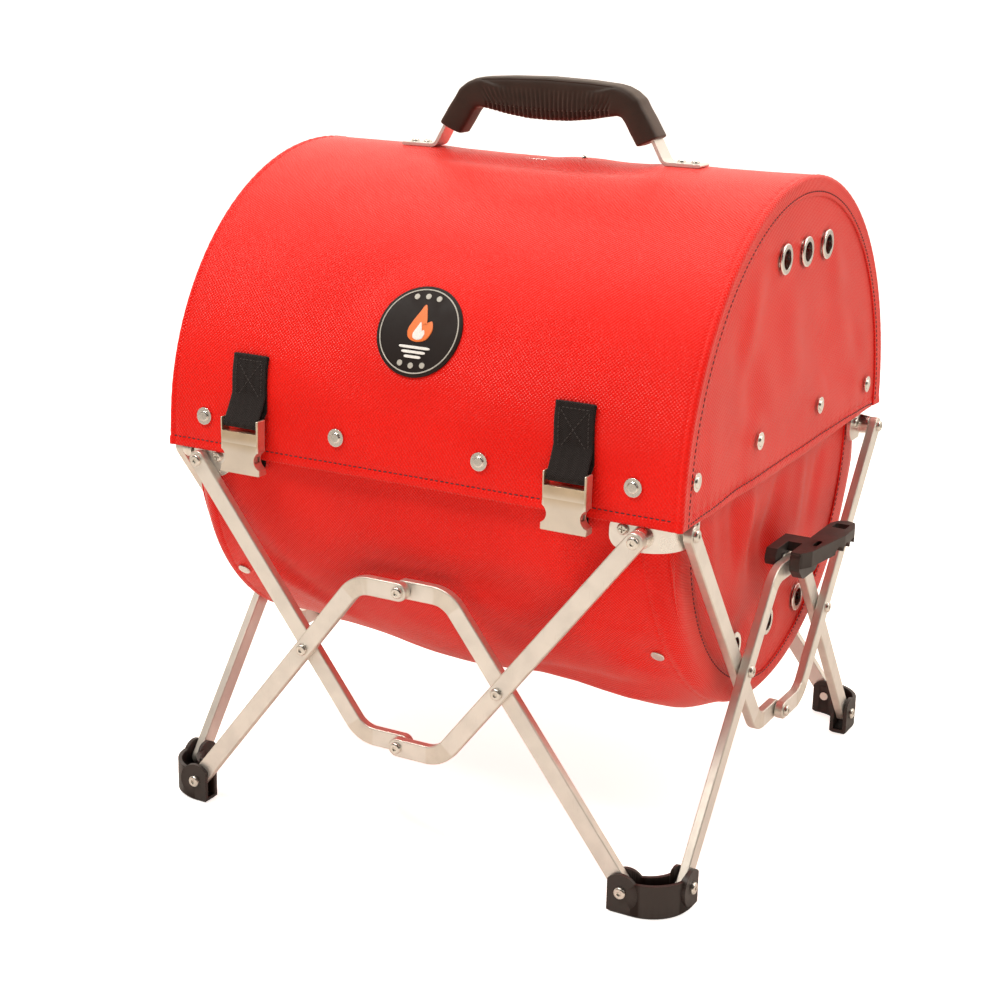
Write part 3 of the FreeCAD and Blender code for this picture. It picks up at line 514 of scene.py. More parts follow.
def stitch_run(points, normals, lift=0.15 * MM, length=STITCH, gap=STITCH_GAP, radius=THREAD):
    """Vertices and faces of a row of stitches along a line of points on the cloth."""
    place = distance_along(points)

    def at(distance):
        here = np.array([np.interp(distance, place, points[:, k]) for k in range(3)])
        up = np.array([np.interp(distance, place, normals[:, k]) for k in range(3)])
        return here, up / np.linalg.norm(up)

    vertices, faces = [], []
    count = int(place[-1] / (length + gap))
    for n in range(count):
        first = n * (length + gap) + gap / 2
        start = len(vertices)
        ahead = at(first + length)[0] - at(first)[0]
        ahead /= np.linalg.norm(ahead)
        stations = ((0.0, 0.55, -0.9), (0.22, 1.0, 0.1), (0.78, 1.0, 0.1), (1.0, 0.55, -0.9))
        for share, size, rise in stations:
            here, up = at(first + share * length)
            side = np.cross(ahead, up)
            centre = here + up * (lift + rise * radius)
            for corner in range(6):
                angle = corner * math.pi / 3
                vertices.append(centre + radius * size * (side * math.cos(angle) + up * math.sin(angle)))
        for ring in range(3):
            for corner in range(6):
                a = start + ring * 6 + corner
                b = start + ring * 6 + (corner + 1) % 6
                faces.append([a, b, b + 6, a + 6])
        faces.append([start + corner for corner in range(5, -1, -1)])
        faces.append([start + 18 + corner for corner in range(6)])
    return vertices, faces


def sew(name, runs, body, material):
    """One piece that holds several rows of stitches."""
    rows = [stitch_run(*run[:2], **(run[2] if len(run) > 2 else {})) for run in runs]
    piece = mesh_object(name, *joined(rows), material)
    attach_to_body(piece, body)
    return piece


# ---------------------------------------------------------------- panels

def wrapped_panel(half, profile, inward, corner, band, middle):
    """A panel that spans the ends along X, turns over both end corners and lies on the ends as a band.

    profile and inward are (rows, 2) arrays in Y and Z, corner and band are widths for each row, and
    middle holds the shares of the span between the corners, from -1 to 1.
    Returns points, outward normals, cloth coordinates and, in `reach`, the distance past each corner.
    """
    turn = np.linspace(0, 1, 6)[1:]
    lap = np.linspace(0, 1, 8)[1:]
    parts = [("band", -1, s) for s in lap[::-1]] + [("corner", -1, s) for s in turn[::-1]]
    parts += [("flat", 0, s) for s in middle]
    parts += [("corner", 1, s) for s in turn] + [("band", 1, s) for s in lap]
    rows, columns = len(profile), len(parts)
    points = np.zeros((rows, columns, 3))
    normals = np.zeros((rows, columns, 3))
    reach = np.zeros((rows, columns))
    along = distance_along(profile)
    for c, (kind, sign, share) in enumerate(parts):
        if kind == "flat":
            points[:, c, 0] = share * (half - corner)
            points[:, c, 1:] = profile
            normals[:, c, 1:] = -inward
            reach[:, c] = (abs(share) - 1) * (half - corner)
        elif kind == "corner":
            angle = share * math.pi / 2
            points[:, c, 0] = sign * (half - corner + corner * math.sin(angle))
            points[:, c, 1:] = profile + inward * (corner * (1 - math.cos(angle)))[:, None]
            normals[:, c, 0] = sign * math.sin(angle)
            normals[:, c, 1:] = -inward * math.cos(angle)
            reach[:, c] = corner * angle
        else:
            points[:, c, 0] = sign * half
            points[:, c, 1:] = profile + inward * (corner + share * band)[:, None]
            normals[:, c, 0] = sign
            reach[:, c] = corner * math.pi / 2 + share * band
    sign = np.array([s if kind != "flat" else (1 if share > 0 else -1) for kind, s, share in parts])
    uv = np.zeros((rows, columns, 2))
    uv[:, :, 0] = sign * (half - corner[:, None] + reach)
    uv[:, :, 1] = along[:, None]
    return {"points": points, "normals": normals, "uv": uv, "reach": reach, "along": along, "kinds": parts}


def edge_seam(reach, along, corner, band, seed):
    """Relief of a sewn edge: a groove before the corner, a plump welt on it, small puckers beside it."""
    groove = -0.9 * MM * hump(reach, -1.5 * MM, 1.5 * MM)
    welt = 1.0 * MM * hump(reach, 0.7 * corner, 0.6 * corner + 1.2 * MM)
    wave = np.sin(along / (9 * MM) * 2 * math.pi + 2.0 * np.sin(along / (61 * MM) + seed))
    pucker = 0.35 * MM * wave * hump(reach, -2 * MM, 5 * MM)
    trough_at = corner * math.pi / 2 + band - 3.0 * MM
    sunk = -0.5 * MM * hump(reach, trough_at, 1.3 * MM)
    return groove + welt + pucker + sunk


def hem_relief(height, along, seed):
    """Relief of a turned and stitched hem, by height above the cloth's edge."""
    plump = 0.8 * MM * smooth(HEM - height, 0, 3 * MM)
    sunk = -0.6 * MM * hump(height, HEM, 1.4 * MM)
    wave = np.sin(along / (13 * MM) * 2 * math.pi + 1.7 * np.sin(along / (47 * MM) + seed))
    return plump + sunk + 0.3 * MM * wave * hump(height, HEM, 6 * MM)


def end_panel(half, outline_y, low, top, rows):
    """Flat upright panel between a lower and an upper height at each Y. Returns points and coordinates."""
    share = rows[:, None]
    y = np.broadcast_to(outline_y, (len(rows), len(outline_y)))
    z = low[None, :] + (top - low)[None, :] * share
    points = np.stack([np.full_like(z, half), y, z], -1)
    return points, np.stack([y, z], -1)


def with_holes(points, centres, radius):
    """Moves grid points beside each vent onto its circle, and says which faces to leave out."""
    moved = points.copy()
    for centre in centres:
        flat = moved[..., 1:] - centre[1:]
        far = np.linalg.norm(flat, axis=-1)
        ring = (far > radius - 2.6 * MM) & (far < radius + 1.6 * MM)
        scale = np.where(ring, radius / np.maximum(far, 1e-6), 1.0)
        moved[..., 1:] = centre[1:] + flat * scale[..., None]

    def inside(middle):
        hit = np.zeros(len(middle), bool)
        for centre in centres:
            hit |= np.linalg.norm(middle[:, 1:] - centre[1:], axis=1) < radius - 0.2 * MM
        return hit

    return moved, inside


def end_cloth(body, sign, points, uv, inside):
    """Makes the cloth of one end of the lid or the basin, with its vent holes left open."""
    side = "right" if sign > 0 else "left"
    cloth = grid_object(f"{body}_end_{side}", points, uv, RED, sign > 0, inside)
    mended(cloth, drop_loose)
    thicken(cloth, CLOTH)
    attach(cloth, body)


# ---------------------------------------------------------------- lid

lid_hardware = np.concatenate([islands(n)[0] for n in ("lid_snaps", "lid_eyelets", "handle_screws")])
lid_vents = islands("lid_eyelets")[0]
basin_vents = islands("basin_eyelets")[0]
patch_low, patch_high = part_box("lid_badge")
PATCH_CENTRE = np.array((patch_low + patch_high) / 2)


def lid_profile(along):
    skirt = LID_AXIS_Z - LID_RIM
    angle = np.clip((along - skirt) / LID_RADIUS, 0, math.pi)
    low = np.maximum(skirt - along, 0) + np.maximum(along - skirt - math.pi * LID_RADIUS, 0)
    y = -LID_RADIUS * np.cos(angle)
    z = LID_AXIS_Z + LID_RADIUS * np.sin(angle) - low
    inward = np.stack([np.cos(angle), -np.sin(angle)], -1)
    return np.stack([y, z], -1), inward


def hem_drop(points):
    """How far the cloth hangs below the CAD rim: fully in front, not at all at the rear hinge."""
    forward = smooth(215 * MM - points[..., 1], 0, 260 * MM)
    near_rim = 1 - smooth(points[..., 2] - LID_RIM, 0, 50 * MM)
    return HEM_DROP * forward * near_rim


RIDGE_VALLEYS = ((-34 * MM, 3.6 * MM), (34 * MM, 2.4 * MM))      # where the cloth sinks beside the ridge


def lid_wrap():
    """The cloth from the front hem over the top to the rear hem, with its bands on both ends."""
    length = math.pi * LID_RADIUS + 2 * (LID_AXIS_Z - LID_RIM)
    along = spaced(0, length, 15 * MM, 1.5 * MM, 5 * MM)
    profile, inward = lid_profile(along)
    corner = np.full(len(along), LID_CORNER)
    band = np.full(len(along), LID_BAND)
    flat = LID_HALF - LID_CORNER
    middle = spaced(-flat, flat, 15 * MM, 1.5 * MM, 5 * MM) / flat
    panel = wrapped_panel(LID_HALF, profile, inward, corner, band, middle)
    points, reach = panel["points"], panel["reach"]
    run = panel["along"][:, None]
    height = np.minimum(run, length - run)
    still = calm(points, lid_hardware, 9 * MM, 40 * MM) * calm(points, [PATCH_CENTRE], 42 * MM, 75 * MM)
    inner = smooth(-reach, 4 * MM, 60 * MM)
    x, y = points[..., 0], points[..., 1]
    slack = -1.6 * MM * inner * smooth(height, 10 * MM, 120 * MM) * np.cos(x / LID_HALF * math.pi / 2)
    broad = 1.5 * MM * wander(points, 130 * MM, 1) + 0.5 * MM * wander(points, 45 * MM, 2)
    valley = 0
    for beside, deep in RIDGE_VALLEYS:
        dip = hump(y, beside, 15 * MM) * (points[..., 2] > LID_AXIS_Z)
        valley = valley - deep * dip * smooth(135 * MM - abs(x), 0, 60 * MM)
    relief = (slack + broad * inner) * still + valley
    relief = relief + edge_seam(reach, run, LID_CORNER, LID_BAND, 1)
    relief = relief + hem_relief(height, panel["uv"][..., 0], 2) * (reach < LID_CORNER)
    points += panel["normals"] * relief[..., None]
    points[..., 2] -= hem_drop(points)
    cloth = grid_object("lid_wrap", points, panel["uv"], RED, flip=True)
    thicken(cloth, CLOTH)
    attach(cloth, "lid", "lid_cover")
    # rows of stitches: along both end bands, and along the front and rear hems
    kinds = panel["kinds"]
    runs = []
    for sign in (-1, 1):
        column = min((c for c, k in enumerate(kinds) if k[0] == "band" and k[1] == sign),
                     key=lambda c: abs(kinds[c][2] * LID_BAND - (LID_BAND - 3 * MM)))
        runs.append((points[:, column], panel["normals"][:, column]))
    inner_columns = [c for c, k in enumerate(kinds) if k[0] == "flat"]
    for row in (int(np.argmin(abs(along - HEM))), int(np.argmin(abs(length - along - HEM)))):
        runs.append((points[row, inner_columns], panel["normals"][row, inner_columns]))
    return runs


# soft folds in millimetres: start and end on the panel, width, and height (below zero is a hollow)
END_FOLDS = {
    1: [((-150, 470), (-55, 352), 20, -4.0), ((-95, 535), (-128, 385), 17, 3.0),
        ((5, 440), (150, 372), 22, -4.5), ((60, 515), (150, 405), 18, 3.2),
        ((-30, 480), (10, 385), 24, 3.0), ((95, 470), (185, 380), 14, -2.6)],
    -1: [((150, 480), (60, 350), 24, -4.0), ((70, 530), (110, 380), 18, 3.0),
         ((-20, 450), (-150, 365), 22, -4.0), ((-70, 500), (-140, 420), 16, 3.0),
         ((20, 470), (-10, 360), 20, 2.6)],
}


def lid_end(sign):
    """Cloth of one end: hangs in soft folds from the band, with a hem below and vents near the top."""
    radius = LID_RADIUS - LID_CORNER - 2 * MM
    angle = np.linspace(0.5 * math.pi / 180, math.pi - 0.5 * math.pi / 180, 150)
    y = -radius * np.cos(angle)
    top = LID_AXIS_Z + radius * np.sin(angle)
    low = np.full_like(top, LID_RIM)
    fine = np.linspace(0, 15 * MM, 11) / (LID_RADIUS)
    rows = np.concatenate([fine[:-1], np.linspace(fine[-1], 1, 56)])
    points, uv = end_panel(LID_HALF - END_INSET, y, low, top, rows)
    vents = [c for c in lid_vents if c[0] > 0]
    points, inside = with_holes(points, vents, VENT_HOLE)
    seen = np.stack([points[..., 0] * sign, points[..., 1], points[..., 2]], -1)
    still = calm(seen, [c for c in lid_hardware if c[0] * sign > 0], 10 * MM, 34 * MM)
    depth_in = radius - np.hypot(points[..., 1], points[..., 2] - LID_AXIS_Z)
    inner = smooth(depth_in, LID_BAND - 4 * MM, 60 * MM)
    relief = 2.2 * MM * wander(seen, 75 * MM, 5 + sign, (1, 0.8, 1.8))
    for start, end, width, depth in END_FOLDS[sign]:
        a, b = np.array(start) * MM, np.array(end) * MM
        relief = relief + fold(points[..., 1], points[..., 2], a, b, width * MM, depth * MM)
    height = points[..., 2] - LID_RIM
    relief = relief * inner * still
    relief = relief + hem_relief(height, points[..., 1], 4 + sign) * (depth_in > LID_BAND)
    points[..., 0] += relief
    points[..., 0] *= sign
    rim_row = int(np.argmin(abs(points[:, len(y) // 2, 2] - LID_RIM - HEM)))
    points[..., 2] -= hem_drop(points)
    end_cloth("lid", sign, points, uv, inside)
    normals = np.zeros_like(points[rim_row])
    normals[:, 0] = sign
    keep = abs(points[rim_row, :, 1]) < LID_RADIUS - 7 * MM
    return points[rim_row][keep], normals[keep]


# ---------------------------------------------------------------- basin

def basin_profile(share):
    """Half ellipse from the front rim round the bottom to the rear rim."""
    angle = share * math.pi
    y = -BASIN_HALF * np.cos(angle)
    z = BASIN_RIM - BASIN_DEEP * np.sin(angle)
    inward = np.stack([np.cos(angle) / BASIN_HALF, np.sin(angle) / BASIN_DEEP], -1)
    inward /= np.linalg.norm(inward, axis=1)[:, None]
    return np.stack([y, z], -1), inward


BASIN_FOLDS = [
    ((-70, 95), (120, 84), 17, -4.5), ((205, 45), (90, 150), 14, -3.0), ((218, 60), (150, 200), 11, 2.6),
    ((-215, 45), (-120, 150), 13, -3.4), ((-190, 95), (-90, 190), 12, 2.4),
    ((40, 215), (200, 190), 14, -3.0), ((60, 240), (215, 222), 9, 2.4), ((-160, 215), (-20, 235), 14, -2.5),
]


def basin_wrap():
    """The cloth from the front rim under the bottom to the rear rim, with its bands on both ends."""
    share = spaced(0, 1, 0.03, 0.003, 0.0072)
    profile, inward = basin_profile(share)
    depth = np.sin(share * math.pi)
    corner = (9 + 17 * (1 - depth) ** 1.5) * MM
    band = (7 + 17 * np.sin(np.clip(1 - depth, 0, 1) ** 0.6 * math.pi * 0.62)) * MM
    flat = BASIN_HALF - 20 * MM
    middle = spaced(-flat, flat, 15 * MM, 1.5 * MM, 5 * MM) / flat
    panel = wrapped_panel(BASIN_HALF, profile, inward, corner, band, middle)
    points, reach = panel["points"], panel["reach"]
    run = panel["along"][:, None]
    length = panel["along"][-1]
    x, y, z = points[..., 0], points[..., 1], points[..., 2]
    inner = smooth(-reach, 0, 70 * MM)
    below = smooth(np.minimum(run, length - run), 12 * MM, 90 * MM)
    still = calm(points, basin_vents, 9 * MM, 35 * MM)
    sag = 5 * MM * inner * below
    right_belly = 13 * MM * hump(x, 195 * MM, 75 * MM) * hump(y, -70 * MM, 75 * MM)
    belly = 11 * MM * hump(x, -25 * MM, 85 * MM) * hump(y, -50 * MM, 95 * MM)
    left_lift = -6 * MM * hump(x, -150 * MM, 60 * MM) * hump(y, -60 * MM, 90 * MM)
    low_part = (z < BASIN_RIM - 100 * MM) * smooth(-reach, -12 * MM, 40 * MM)
    relief = sag + (right_belly + belly + left_lift) * low_part
    uneven = 2.6 * MM * wander(points, 95 * MM, 11) + 1.0 * MM * wander(points, 38 * MM, 12)
    relief = relief + uneven * inner * below
    for start, end, width, deep in BASIN_FOLDS:
        a, b = np.array(start) * MM, np.array(end) * MM
        relief = relief + fold(x, run, a, b, width * MM, deep * MM) * inner
        relief = relief + fold(-x, length - run, a, b, width * MM, deep * MM * 0.8) * inner
    seam_band = band[:, None] + corner[:, None] * 1.57 - 9.4 * MM
    relief = relief * still + edge_seam(reach, run, 6 * MM, seam_band, 5)
    points += panel["normals"] * relief[..., None]
    cloth = grid_object("basin_wrap", points, panel["uv"], RED)
    thicken(cloth, CLOTH)
    attach(cloth, "basin", "basin_cover")
    kinds = panel["kinds"]
    runs = []
    for sign in (-1, 1):
        columns = [c for c, k in enumerate(kinds) if k[0] == "band" and k[1] == sign]
        column = sorted(columns, key=lambda c: abs(kinds[c][2] - 0.86))[0]
        runs.append((points[:, column], panel["normals"][:, column]))
    return runs


BASIN_END_FOLDS = {
    1: [((-150, 325), (-120, 215), 15, 3.4), ((-95, 328), (-80, 250), 12, -3.4),
        ((-55, 328), (-50, 235), 12, 3.0), ((20, 328), (0, 235), 14, -3.6),
        ((75, 328), (60, 240), 13, 3.0), ((130, 325), (95, 230), 14, -3.0),
        ((-60, 262), (30, 240), 34, -8.0), ((-110, 215), (60, 150), 24, 2.5)],
    -1: [((-205, 236), (60, 226), 9, -7.0), ((-180, 285), (40, 280), 30, 4.0),
         ((-150, 190), (60, 180), 24, 4.0), ((90, 328), (70, 240), 14, -3.4),
         ((140, 325), (120, 235), 14, 3.0), ((20, 328), (10, 262), 12, -2.5)],
}


def basin_end(sign):
    """Cloth of one end of the basin, gathered under the rim, with vents low down."""
    share = np.linspace(0.004, 0.996, 150)
    inset = 9 * MM
    angle = share * math.pi
    y = -(BASIN_HALF - inset) * np.cos(angle)
    bottom = BASIN_RIM - (BASIN_DEEP - inset) * np.sin(angle)
    top = np.full_like(bottom, BASIN_RIM)
    rows = np.linspace(0, 1, 64)
    points, uv = end_panel(BASIN_HALF - END_INSET, y, bottom, top, rows)
    vents = [c for c in basin_vents if c[0] > BASIN_HALF - 12 * MM]
    points, inside = with_holes(points, vents, VENT_HOLE)
    seen = np.stack([points[..., 0] * sign, points[..., 1], points[..., 2]], -1)
    still = calm(seen, [c for c in basin_vents if c[0] * sign > 0], 11 * MM, 34 * MM)
    y_share, z_share = points[..., 1] / BASIN_HALF, (BASIN_RIM - points[..., 2]) / BASIN_DEEP
    from_edge = (1 - np.hypot(y_share, z_share)) * BASIN_HALF
    inner = smooth(from_edge, 18 * MM, 70 * MM) * smooth(BASIN_RIM - points[..., 2], 2 * MM, 26 * MM)
    relief = 2.0 * MM * wander(seen, 60 * MM, 21 + sign, (1, 0.8, 1.6))
    for start, end, width, depth in BASIN_END_FOLDS[sign]:
        a, b = np.array(start) * MM, np.array(end) * MM
        relief = relief + fold(points[..., 1], points[..., 2], a, b, width * MM, depth * MM)
    points[..., 0] += relief * inner * still
    # the corners of the rim are rounded in plan, so the panel follows the turn under the band
    turn = 26 * MM * (1 - np.clip(z_share, 0, 1)) ** 1.5
    past = np.clip(abs(points[..., 1]) - (BASIN_HALF - turn), 0, turn)
    points[..., 0] -= np.where(turn > 1e-6, turn - np.sqrt(np.maximum(turn ** 2 - past ** 2, 0)), 0)
    points[..., 0] *= sign
    end_cloth("basin", sign, points, uv, inside)


# ---------------------------------------------------------------- patch

PATCH_RADIUS = (patch_high.x - patch_low.x) / 2
PATCH_X = (patch_high.x + patch_low.x) / 2
PATCH_ANGLE = (math.asin((patch_low.z - LID_AXIS_Z) / LID_RADIUS)
               + math.asin((patch_high.z - LID_AXIS_Z) / (LID_RADIUS + 1.8 * MM))) / 2
PATCH_TALL = 2.2 * MM


def on_patch(across, up, height):
    """Point on the lid's front, from places on the flat patch and a height above the cloth."""
    angle = PATCH_ANGLE + up / LID_RADIUS
    radius = LID_RADIUS + height
    return (PATCH_X + across, -radius * math.cos(angle), LID_AXIS_Z + radius * math.sin(angle))


def pad(outline, base, tall, bevel):
    """Vertices and faces of a flat raised shape with a rounded edge, from a closed outline."""
    outline = np.array(outline)
    middle = outline.mean(0)
    rings = [(1.0, base), (1.0, base + tall - bevel),
             (1.0 - 0.3 * bevel / PAD_SIZE, base + tall - 0.3 * bevel), (1.0 - bevel / PAD_SIZE, base + tall)]
    rings += [(share, base + tall) for share in (0.8, 0.6, 0.4, 0.2)]
    size = np.linalg.norm(outline - middle, axis=1).mean()
    vertices, faces = [], []
    count = len(outline)
    for share, height in rings:
        share = 1 - (1 - share) * PAD_SIZE / size if share > 0.9 else share
        for point in outline:
            u, v = middle + (point - middle) * share
            vertices.append(on_patch(u, v, height))
    vertices.append(on_patch(middle[0], middle[1], base + tall))
    for ring in range(len(rings) - 1):
        for n in range(count):
            a, b = ring * count + n, ring * count + (n + 1) % count
            faces.append([a, b, b + count, a + count])
    last = (len(rings) - 1) * count
    for n in range(count):
        faces.append([last + n, last + (n + 1) % count, len(vertices) - 1])
    return vertices, faces


PAD_SIZE = 10 * MM


def circle(across, up, radius, count=40):
    turns = [2 * math.pi * n / count for n in range(count)]
    return [(across + radius * math.cos(a), up + radius * math.sin(a)) for a in turns]


def closed_curve(points, steps=8):
    """Smooth closed outline through a few points."""
    points = np.array(points)
    made = []
    for n in range(len(points)):
        a, b, c, d = (points[(n + k - 1) % len(points)] for k in range(4))
        for step in range(steps):
            s = step / steps
            made.append(0.5 * ((2 * b) + (c - a) * s + (2 * a - 5 * b + 4 * c - d) * s ** 2
                               + (3 * b - a - 3 * c + d) * s ** 3))
    return made


def scaled(points, size, across=0.0, up=0.0):
    return [(across + u * size, up + v * size) for u, v in points]


# half of a plain flame, in shares of its height; the other side is drawn narrower
FLAME = [(0.0, -0.42), (0.26, -0.34), (0.37, -0.10), (0.30, 0.12), (0.20, 0.02), (0.13, 0.26), (0.02, 0.52),
         (-0.10, 0.30), (-0.22, 0.06), (-0.29, -0.14), (-0.23, -0.34)]


def patch():
    """Soft round patch with a thin ring, six dots, a plain flame and three bars."""
    def piece(name, shapes, material, slot="badge_rubber"):
        made = mesh_object(name, *joined(shapes), material)
        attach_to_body(made, "lid")
        return made

    disc = piece("patch_disc", [pad(circle(0, 0, PATCH_RADIUS, 120), 0, PATCH_TALL, 1.0 * MM)], PATCH)
    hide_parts("lid_badge")
    top = PATCH_TALL - 0.1 * MM
    raised = 0.45 * MM
    dots = []
    for up in (-29.5 * MM, 29.5 * MM):
        for across in (-10.5 * MM, 0.0, 10.5 * MM):
            inward = (1.2 * MM if across else 0) * (-1 if up > 0 else 1)
            dots.append(pad(circle(across, up + inward, 2.5 * MM, 24), top, raised, 0.25 * MM))
    ring_vertices, ring_faces = [], []
    turns = 160
    section = ((-0.55, 0), (-0.4, 0.35), (0.4, 0.35), (0.55, 0))
    for n in range(turns):
        angle = 2 * math.pi * n / turns
        for out, lift in section:
            radius = PATCH_RADIUS - 3.4 * MM + out * MM
            u, v = radius * math.cos(angle), radius * math.sin(angle)
            ring_vertices.append(on_patch(u, v, top + lift * MM))
        for k in range(3):
            a, b = n * 4 + k, ((n + 1) % turns) * 4 + k
            ring_faces.append([a, b, b + 1, a + 1])
    piece("patch_ring_and_dots", dots + [(ring_vertices, ring_faces)], GREY_PRINT)
    flame = closed_curve(scaled(FLAME, 34 * MM, 0, 4.5 * MM))
    inner = closed_curve(scaled(FLAME, 16 * MM, 0.4 * MM, -1.5 * MM))
    piece("patch_flame", [pad(flame, top, 0.6 * MM, 0.3 * MM)], ORANGE_PRINT)
    bars = []
    for row, wide in enumerate((26, 20, 14)):
        half, up = wide / 2 * MM, -(14.5 + 3.9 * row) * MM
        tall = 0.95 * MM
        below, above = ((-half, up - tall), (0, up - tall * 1.15)), ((half, up + tall), (0, up + tall * 1.15))
        outline = [*below, (half, up - tall), *above, (-half, up + tall)]
        bars.append(pad(closed_curve(outline, 6), top, 0.6 * MM, 0.2 * MM))
    piece("patch_light_marks", [pad(inner, top + 0.5 * MM, 0.5 * MM, 0.25 * MM)] + bars, WHITE_PRINT)


# ---------------------------------------------------------------- grip

GRIP_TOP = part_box("handle_grip")[1].z
GRIP_DEEP = 13 * MM
GRIP_RIB = 4.4 * MM
RIBBED_HALF = 62 * MM


def grip_edges():
    """Upper and lower edge of the grip seen from the front, from its middle out to one end."""
    top = GRIP_TOP / MM
    upper = [(0, top), (40, top - 1.2), (64, top - 3.0)]
    upper += [(72, top - 4.6), (80, top - 8.0), (88, top - 14), (92, top - 21), (98, top - 29.5)]
    upper += [(107, top - 44)]
    lower = [(0, top - 37.5), (20, top - 37.0), (40, top - 34.6), (58, top - 31.2), (67, top - 29.6),
             (71.5, top - 30.8), (75, top - 35.0), (80, top - 43.5), (86.5, top - 53.5)]
    return [evenly(np.array(line) * MM, 0.5 * MM, 12) for line in (upper, lower)]


def grip():
    """Soft moulded grip: a squared tube round the strap with ribs below and a lens-shaped crease."""
    upper, lower = grip_edges()
    stations = 150
    share = np.linspace(0, 1, stations)

    def along(line, s):
        place = np.linspace(0, 1, len(line))
        return np.stack([np.interp(s, place, line[:, k]) for k in range(2)], -1)

    half_up, half_low = along(upper, share), along(lower, share)
    flip = np.array([-1, 1])
    up = np.concatenate([half_up[:0:-1] * flip, half_up])
    low = np.concatenate([half_low[:0:-1] * flip, half_low])
    turns = np.linspace(0, 2 * math.pi, 73)[:-1]
    power = 2 / 5.5
    rise = np.sign(np.sin(turns)) * np.abs(np.sin(turns)) ** power
    side = np.sign(np.cos(turns)) * np.abs(np.cos(turns)) ** power
    # the underside is rounder than the top
    side = side * (1 - 0.16 * smooth(-rise, -0.1, 1.0))
    middle, reach = (up + low) / 2, (up - low) / 2
    points = np.zeros((len(up), len(turns), 3))
    points[..., 0] = middle[:, :1] + reach[:, :1] * rise
    points[..., 2] = middle[:, 1:] + reach[:, 1:] * rise
    points[..., 1] = GRIP_DEEP * side
    x = points[..., 0]
    wave = 0.5 - 0.5 * np.cos(x / GRIP_RIB * 2 * math.pi)
    ribbed = smooth(RIBBED_HALF - abs(x), 0, 4 * MM) * smooth(-rise, -0.18, -0.04)[None, :]
    sink = -1.7 * MM * ribbed * smooth(wave, 0.35, 0.65)
    # a shallow step along a bowed line on both faces
    bow = GRIP_TOP - 3 * MM - 12 * MM * np.clip(1 - (x / (72 * MM)) ** 2, 0, 1)
    step = smooth(points[..., 2] - bow, -0.5 * MM, 0.5 * MM) * (abs(x) < 72 * MM)
    sink = sink - 0.9 * MM * step * (np.abs(side) > 0.9)[None, :]
    points[..., 1] += sink * np.sign(points[..., 1]) * np.minimum(1, np.abs(side) * 1.4)
    points[..., 2] -= sink * (rise < -0.6)[None, :] * 1.2
    rows, columns = points.shape[:2]
    vertices = points.reshape(-1, 3).tolist()
    index = np.arange(rows * columns).reshape(rows, columns)
    across = np.roll(index, -1, 1)
    faces = np.stack([index[:-1], index[1:], across[1:], across[:-1]], -1).reshape(-1, 4).tolist()
    for row, before, turned in ((0, 1, False), (rows - 1, rows - 2, True)):
        ring, last = points[row], index[row]
        out = ring.mean(0) - points[before].mean(0)
        out /= np.linalg.norm(out)
        for shrink, forward in ((0.95, 0.9 * MM), (0.87, 1.3 * MM), (0.62, 1.4 * MM), (0.3, 1.4 * MM)):
            made = ring.mean(0) + (ring - ring.mean(0)) * shrink + out * forward
            start = len(vertices)
            vertices += made.tolist()
            here = np.arange(start, start + columns)
            for n in range(columns):
                m = (n + 1) % columns
                quad = [last[n], last[m], here[m], here[n]]
                faces.append([int(v) for v in (quad[::-1] if turned else quad)])
            last = here
        cap = [int(v) for v in last]
        faces.append(cap[::-1] if turned else cap)
    piece = mesh_object("moulded_grip", vertices, faces, RUBBER)
    mended(piece, face_outward)
    attach(piece, "lid", "handle_grip")


# ---------------------------------------------------------------- webbing

STRAP_PLACES = sorted(c[0] for c in islands("lid_straps")[0])
strap_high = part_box("lid_straps")[1]
STRAP_HALF = strap_high.x - STRAP_PLACES[1]
STRAP_TOP = strap_high.z
buckle_low, buckle_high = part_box("lid_buckles")
BUCKLE_MID_Y = (buckle_low.y + buckle_high.y) / 2
BUCKLE_BAR_Z = buckle_high.z - 5 * MM
TONGUE_BAR_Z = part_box("buckle_tongues")[0].z + 2.5 * MM
WEBBING_THICK = 1.3 * MM


def on_lid_front(z, offset):
    """Y and Z beside the lid's front, at one height and distance from the cloth."""
    angle = math.asin((z - LID_AXIS_Z) / LID_RADIUS)
    radius = LID_RADIUS + offset
    return (-radius * math.cos(angle), LID_AXIS_Z + radius * math.sin(angle))


def strap_lean(z):
    """The straps lean a little: their tops sit further to the left than their buckles."""
    return -5 * MM * smooth(z, BUCKLE_BAR_Z, STRAP_TOP)


